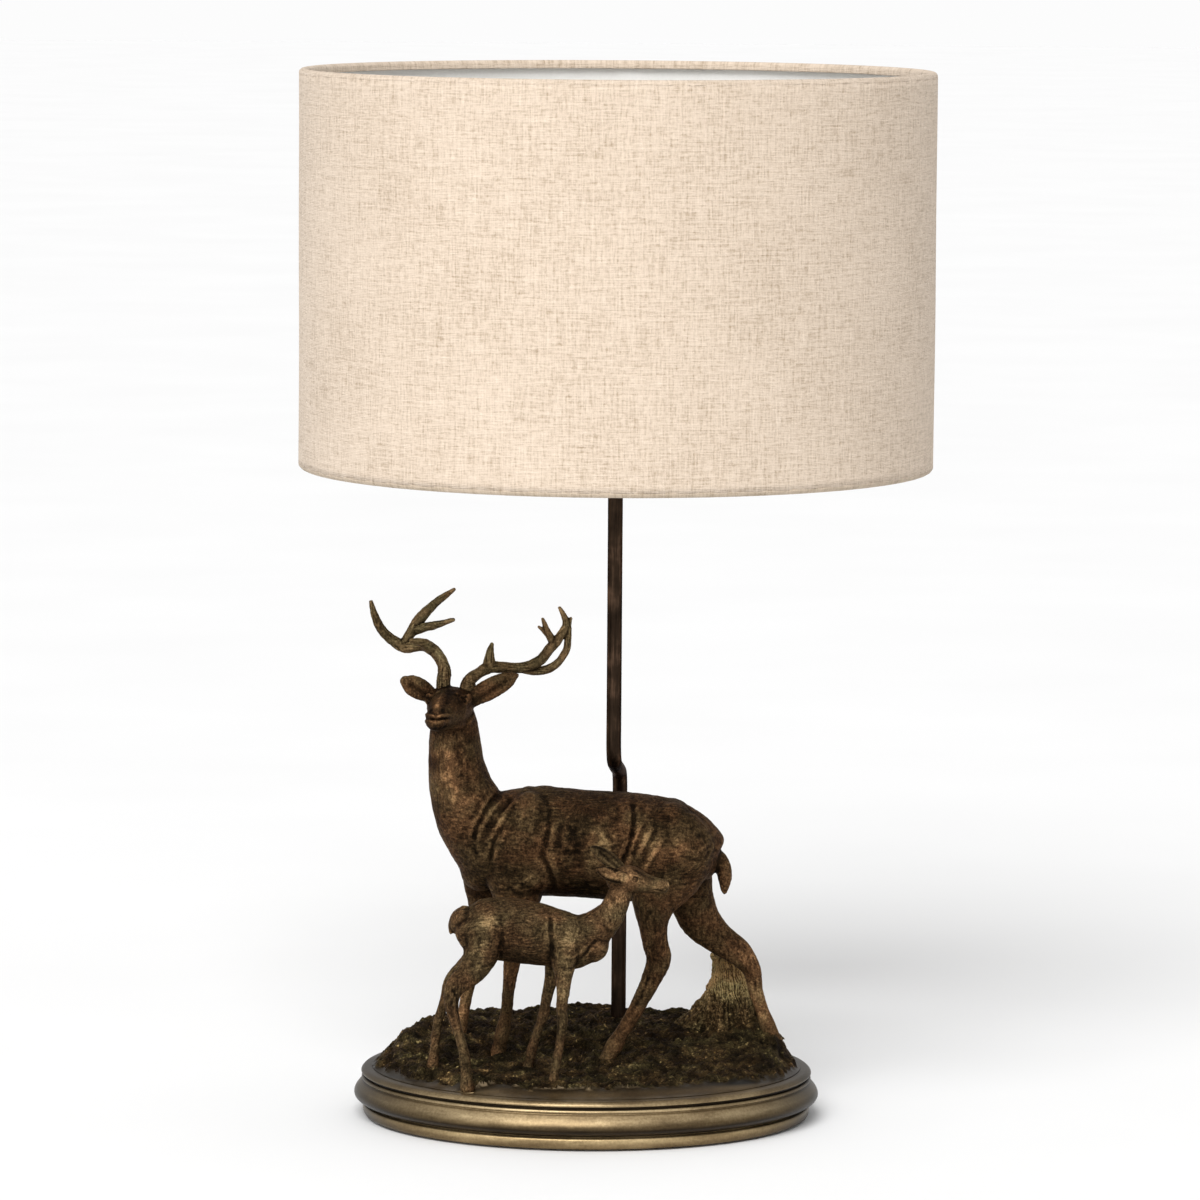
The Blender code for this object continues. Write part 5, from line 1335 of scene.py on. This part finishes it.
def make_tube():
    """The bent tube, threaded at both ends."""
    bend = catmull(TUBE_BEND, 8)
    low, top = TUBE_BOTTOM / MM, TUBE_TOP / MM
    foot = np.array([(*TUBE_FOOT, z) for z in np.linspace(low, 180, 150)])
    head = np.array([(0, 0, z) for z in np.linspace(250, top, 130)])
    line = np.concatenate([foot, bend, head])
    ways = unit(np.gradient(line, axis=0))
    sides = 48
    angles = np.arange(sides) * TAU / sides
    rings = []
    for centre, way in zip(line, ways):
        threaded = centre[2] < 30 or centre[2] > top - 9
        radius = TUBE_RADIUS / MM + (0.10 * np.sin(angles + centre[2] * TAU) - 0.12 if threaded else 0)
        rings.append(round_ring(centre, way, radius, angles))
    for centre, way in zip(line[::-1][::6], ways[::-1][::6]):
        rings.append(round_ring(centre, way, TUBE_BORE, angles))
    rings.append(line[0] + TUBE_BORE * np.stack([np.cos(angles), np.sin(angles), 0 * angles], 1))
    mesh = mesh_of("tube", np.concatenate(rings) * MM, grid_faces(len(rings), sides, round_rows=True))
    with editing(mesh):
        pass
    crease(mesh, 60)
    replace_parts(new_object("tube", mesh, tube_bronze, "base"), "lamp_tube")


# The shade

HEM_RADIUS = 0.0028
HEM_DROP = 0.0026
HEM_THICKNESS = 0.0005
LINEN_THICKNESS = 0.0006
# The liner's outer face, in from the drum's full radius, and its thickness
LINER_INSET, LINER_THICKNESS = 0.0013, 0.0006
SEAM_ANGLE, SEAM_WIDTH = 87.3, 0.015
SHADE_STEPS = 360


def add_cloth_map(mesh, height_origin):
    """A UV map in metres round the drum and up it."""
    layer = mesh.uv_layers.new(name="cloth")
    for face in mesh.polygons:
        corners = [mesh.vertices[mesh.loops[i].vertex_index].co for i in face.loop_indices]
        around = [math.atan2(c.x, -c.y) for c in corners]
        if max(around) - min(around) > math.pi:
            around = [a + TAU if a < 0 else a for a in around]
        for i, c, a in zip(face.loop_indices, corners, around):
            radial = SHADE_RADIUS - math.hypot(c.x, c.y)
            layer.data[i].uv = (a * SHADE_RADIUS, c.z - height_origin + radial)


def make_shade():
    low, top = SHADE_BOTTOM, SHADE_TOP
    outer = SHADE_RADIUS - 0.0004

    def slack(r, z, angle):
        rise = math.sin(math.pi * min(max((z - low) / (top - low), 0), 1))
        return r + rise * (0.00025 * math.sin(3 * angle + 1.0) + 0.00018 * math.sin(7 * angle + z * 30))

    levels = np.linspace(low + HEM_RADIUS, top - HEM_RADIUS, 60)
    profile = [(outer, z) for z in levels] + [(outer - LINEN_THICKNESS, z) for z in levels[::-1]]
    drum = lathe("linen_drum", profile, SHADE_STEPS, shift=slack)
    add_cloth_map(drum, low)
    cloth = new_object("linen_drum", drum, linen, "shade")
    centre = outer + 0.0001 - HEM_RADIUS
    for name, z, up in (("hem_top", top - HEM_RADIUS, 1), ("hem_bottom", low + HEM_RADIUS, -1)):
        turned = HEM_RADIUS - HEM_THICKNESS
        over = [(centre + HEM_RADIUS * math.cos(a), z + up * HEM_RADIUS * math.sin(a))
                for a in np.radians(np.linspace(-8, 180, 15))]
        under = [(centre + turned * math.cos(a), z + up * turned * math.sin(a))
                 for a in np.radians(np.linspace(180, -8, 15))]
        inside = [(centre - HEM_RADIUS, z - up * HEM_DROP * t) for t in (0.3, 0.7, 1.0)]
        inside_in = [(centre - HEM_RADIUS + 0.0004, z - up * HEM_DROP * t) for t in (1.0, 0.7, 0.3)]

        def ripple(r, height, angle, phase=up):
            return r - 0.0001 + 0.00010 * math.sin(61 * angle + phase) + 0.00008 * math.sin(137 * angle)

        hem = lathe(name, [*over, *inside, *inside_in, *under], SHADE_STEPS, shift=ripple)
        add_cloth_map(hem, low)
        # The bottom hem, which faces down, takes the darker copy of the linen as painted shade.
        new_object(name, hem, shaded_hem_linen if up < 0 else linen, "shade")
    make_seam(outer, low, top)
    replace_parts(cloth, "shade_fabric")
    inner = SHADE_RADIUS - LINER_INSET
    inside_levels = np.linspace(low + HEM_RADIUS, top - HEM_RADIUS, 40)

    def lapped(r, z, angle):
        turn = (math.degrees(angle) - 85.1) % 360
        return r - (0.0005 if turn < 4.2 else 0)

    back = [(inner - LINER_THICKNESS, z) for z in inside_levels]
    profile = [(inner, z) for z in inside_levels[::-1]] + back
    liner = lathe("lining_drum", profile, SHADE_STEPS, shift=lapped)
    crease(liner, 30)
    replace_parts(new_object("lining_drum", liner, lining, "shade"), "shade_liner")


def make_seam(outer, low, top):
    """The lapped vertical seam at the back of the drum."""
    rows, columns = 40, 7
    points = []
    for z in np.linspace(low + 0.0040, top - 0.0040, rows):
        for k in range(columns):
            share = k / (columns - 1)
            angle = math.radians(SEAM_ANGLE) + (share - 0.5) * SEAM_WIDTH / outer
            lift = 0.00035 * math.sin(math.pi * share) ** 0.4 + 0.0001
            points.append(((outer + lift) * math.cos(angle), (outer + lift) * math.sin(angle), z))
    mesh = mesh_of("shade_seam", points, grid_faces(rows, columns, round_columns=False))

    def corners(face):
        order = [v.index for v in face.verts]
        return min(order) * 2 * len(points) + max(order)

    with editing(mesh) as shape:
        bmesh.ops.solidify(shape, geom=shape.faces[:], thickness=0.0004)
        # solidify lists the faces of the rim in another order each run
        shape.verts.index_update()
        shape.faces.sort(key=corners)
    mesh.shade_smooth()
    add_cloth_map(mesh, low)
    return new_object("shade_seam", mesh, linen, "shade")


# The lampholder, its ring and the bulb

FLANGE_Z = 0.4622
HOLDER_RADIUS = 0.0190
BULB_CAP_LENGTH = 0.0235
BULB_CAP_RADIUS = 0.0127
THREAD_PITCH = 0.00362


def make_holder():
    cap_low, cap_top = FLANGE_Z - 0.0420, FLANGE_Z - 0.0180
    cap = rounded([
        (0.0156, cap_top), (0.0172, cap_top), (0.0172, cap_top - 0.0070), (0.0120, cap_low + 0.0090),
        (0.0075, cap_low + 0.0070), (0.0075, cap_low), (0.0050, cap_low), (0.0050, cap_low + 0.0085),
        (0.0110, cap_low + 0.0105), (0.0156, cap_top - 0.0062), (0.0156, cap_top),
    ], 0.0007)

    def ribbed(r, z, angle):
        grip = cap_top - 0.0066 < z < cap_top - 0.0006 and r > 0.0165
        return r - (0.00035 * (0.5 - 0.5 * math.cos(36 * angle)) if grip else 0)

    mesh = crease(lathe("holder_cap", cap, 216, shift=ribbed))
    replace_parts(new_object("holder_cap", mesh, black_plastic, "base"), "lampholder_cap")
    ring_low = FITTER_Z + 0.0014
    inner = HOLDER_RADIUS + 0.0004
    ring = rounded([
        (inner, ring_low + 0.0100), (0.0225, ring_low + 0.0100), (0.0232, ring_low + 0.0094),
        (0.0232, ring_low + 0.0030), (0.0275, ring_low + 0.0022), (0.0275, ring_low), (inner, ring_low),
        (inner, ring_low + 0.0100),
    ], 0.0004)

    def knurled(r, z, angle):
        grip = ring_low + 0.0036 < z < ring_low + 0.0092 and r > 0.0228
        return r - (0.0004 * (0.5 - 0.5 * math.cos(28 * angle)) if grip else 0)

    mesh = crease(lathe("clamp_ring", ring, 224, shift=knurled))
    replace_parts(new_object("clamp_ring", mesh, black_plastic, "ring"), "shade_ring")


def make_bulb():
    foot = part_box("bulb_foot")[0].z
    low = foot + 0.0021
    top = low + BULB_CAP_LENGTH
    centre = GLASS_TOP - GLASS_RADIUS
    cap = [(0.0, low), (0.0070, low), (0.0095, low + 0.0012)]
    cap += [(BULB_CAP_RADIUS, z) for z in np.linspace(low + 0.0026, top - 0.0010, 70)]
    cap += [
        (0.0131, top - 0.0005), (0.0131, top), (0.0117, top), (0.0117, low + 0.0036),
        (0.0066, low + 0.0008), (0.0, low + 0.0008),
    ]

    def thread(r, z, angle):
        if r != BULB_CAP_RADIUS:
            return r
        ease = min((z - low - 0.0026) / 0.002, (top - 0.0010 - z) / 0.002, 1)
        return r + 0.0004 * ease * math.sin(TAU * z / THREAD_PITCH + angle)

    mesh = crease(lathe("bulb_screw_cap", cap, 96, ring=False, shift=thread), 60)
    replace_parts(new_object("bulb_screw_cap", mesh, zinc, "bulb"), "bulb_cap")
    arc = [(GLASS_RADIUS * math.cos(a), centre + GLASS_RADIUS * math.sin(a))
           for a in np.radians(np.linspace(90, -36, 44))]
    neck = catmull([
        arc[-1], (0.0205, top + 0.0205), (0.0165, top + 0.0130), (0.0139, top + 0.0060),
        (0.0129, top + 0.0004),
    ], 6)
    skin = [*arc, *[tuple(p) for p in neck[1:]], (0.0112, top + 0.0004), (0.0112, low + 0.0120)]
    bare = [(max(r - 0.0008, 0.0), z - 0.0008 * (z > centre)) for r, z in skin[::-1]]
    mesh = lathe("bulb_envelope", [*skin, *bare], 96, ring=False)
    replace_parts(new_object("bulb_envelope", mesh, glass, "bulb"), "bulb_glass")
    pip = rounded([
        (0.0, foot), (0.0035, foot), (0.0045, foot + 0.0006), (0.0045, foot + 0.0018), (0.0, foot + 0.0018),
    ], 0.0004)
    mesh = crease(lathe("bulb_contact", pip, 64, ring=False))
    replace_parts(new_object("bulb_contact", mesh, brass, "bulb_lift"), "bulb_foot")


def make_felt():
    """The oval felt sheet under the plinth, with a soft edge."""
    wide = COVER_HALF_WIDTH - 0.006
    profile = rounded([
        (0.0, PLINTH_FOOT), (wide, PLINTH_FOOT), (wide + 0.0002, 0.0007), (wide - 0.0003, 0.0), (0.0, 0.0),
    ], 0.0005)
    spread = [(wide * t, PLINTH_FOOT) for t in np.linspace(0, 0.98, 24)]
    under = [(wide * t, 0.0) for t in np.linspace(0.98, 0, 24)]
    middle = Vector((PLINTH_CENTRE.x, PLINTH_CENTRE.y, 0))
    mesh = lathe("felt_sheet", [*spread, *profile[2:-2], *under], 320, middle, PLINTH_RATIO, ring=False)
    piece = new_object("felt_sheet", mesh, felt, "base")
    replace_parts(piece, "felt_base")


def finish_cad_nodes():
    """Materials for the CAD nodes that stay."""
    finishes = (
        (zinc, ("base_cover", "cover_screw_1", "cover_screw_2", "cover_screw_3", "tube_nut", "tube_washer",
                "holder_locknut", "top_rim_wire", "shade_carrier")),
        (brass, ("centre_contact",)),
        (white_plastic, ("contact_block", "terminal_block", "switch_push_bar")),
        (black_plastic, ("cord_grommet", "lampholder_body")),
        (flex_cover, ("inner_flex",)),
    )
    for material, names in finishes:
        for name in names:
            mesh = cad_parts[name].data
            mesh.materials.clear()
            mesh.materials.append(material)


# The studio. Angles are in degrees, and the camera's lens is in millimetres.

CAMERA_DISTANCE, CAMERA_HEIGHT = 3.98773, 0.78397
CAMERA_PITCH, CAMERA_YAW, CAMERA_ROLL = 6.55563, 0.13376, 0.38519
CAMERA_LENS = 190.74


def make_camera():
    data = bpy.data.cameras.new("camera")
    data.lens = CAMERA_LENS
    data.sensor_width = 36.0
    data.clip_start, data.clip_end = 0.05, 200.0
    camera = placed("camera", data)
    camera.matrix_world = (
        Matrix.Translation((0, -CAMERA_DISTANCE, CAMERA_HEIGHT))
        @ Matrix.Rotation(math.radians(CAMERA_YAW), 4, "Z")
        @ Matrix.Rotation(math.radians(90 - CAMERA_PITCH), 4, "X")
        @ Matrix.Rotation(math.radians(CAMERA_ROLL), 4, "Z")
    )
    bpy.context.scene.camera = camera


def softbox(name, place, aim, size, power):
    data = bpy.data.lights.new(name, "AREA")
    data.shape = "RECTANGLE"
    data.size, data.size_y = size
    data.energy = power
    lamp = placed(name, data)
    lamp.location = place
    lamp.rotation_euler = (Vector(aim) - Vector(place)).to_track_quat("-Z", "Y").to_euler()


FLOOR_RADIUS, FLOOR_DROP = 70.0, 0.0002
BACKDROP_RADIUS, BACKDROP_HEIGHT, BACKDROP_GLOW = 25.0, 20.0, 0.975
SKY_STRENGTH = 0.60
SUN_POWER, SUN_ANGLE, SUN_WAY = 2.5, 36, (0.20, 0.80, -0.78)


def make_backdrop():
    """A white wall far round the floor. Only the camera sees it, so it adds no light."""
    paper = bpy.data.materials.new("backdrop")
    paper.use_nodes = True
    nodes, links = paper.node_tree.nodes, paper.node_tree.links
    glow = nodes.new("ShaderNodeEmission")
    glow.inputs["Strength"].default_value = BACKDROP_GLOW
    links.new(glow.outputs["Emission"], nodes["Material Output"].inputs["Surface"])
    mesh = lathe("backdrop", [(BACKDROP_RADIUS, -1.0), (BACKDROP_RADIUS, BACKDROP_HEIGHT)], 96, ring=False)
    mesh.materials.append(paper)
    wall = placed("backdrop", mesh)
    wall.visible_diffuse = wall.visible_glossy = wall.visible_transmission = wall.visible_shadow = False


def make_studio():
    g = Graph("floor", Roughness=0.9)
    cloud = g.noise(g.place(), 3.0, 2.0)
    g.set(g.shader, {"Base Color": g.ramp(cloud, (0.3, 0.86), (0.7, 0.88))})
    mesh = bpy.data.meshes.new("floor")
    with editing(mesh, outwards=False) as shape:
        bmesh.ops.create_circle(shape, cap_ends=True, segments=96, radius=FLOOR_RADIUS)
    mesh.materials.append(g.material)
    floor = placed("floor", mesh)
    floor.location.z = -FLOOR_DROP
    make_backdrop()
    world = bpy.data.worlds.new("studio")
    world.use_nodes = True
    background = world.node_tree.nodes["Background"]
    background.inputs["Color"].default_value = (1.0, 1.0, 1.0, 1.0)
    background.inputs["Strength"].default_value = SKY_STRENGTH
    bpy.context.scene.world = world
    sun = bpy.data.lights.new("key", "SUN")
    sun.energy = SUN_POWER
    sun.angle = math.radians(SUN_ANGLE)
    placed("key", sun).rotation_euler = Vector(SUN_WAY).to_track_quat("-Z", "Y").to_euler()
    softbox("window", (-1.5, -2.4, 1.0), (0, 0, 0.15), (0.5, 1.2), 9)
    bpy.context.scene.view_settings.view_transform = "Standard"


make_camera()
make_studio()
finish_cad_nodes()
make_plinth()
make_felt()
make_ground()
make_stump()
make_stag()
make_antler("antler_left", LEFT_ANTLER, 41)
make_antler("antler_right", RIGHT_ANTLER, 47)
make_fawn()
make_tube()
make_shade()
make_holder()
make_bulb()
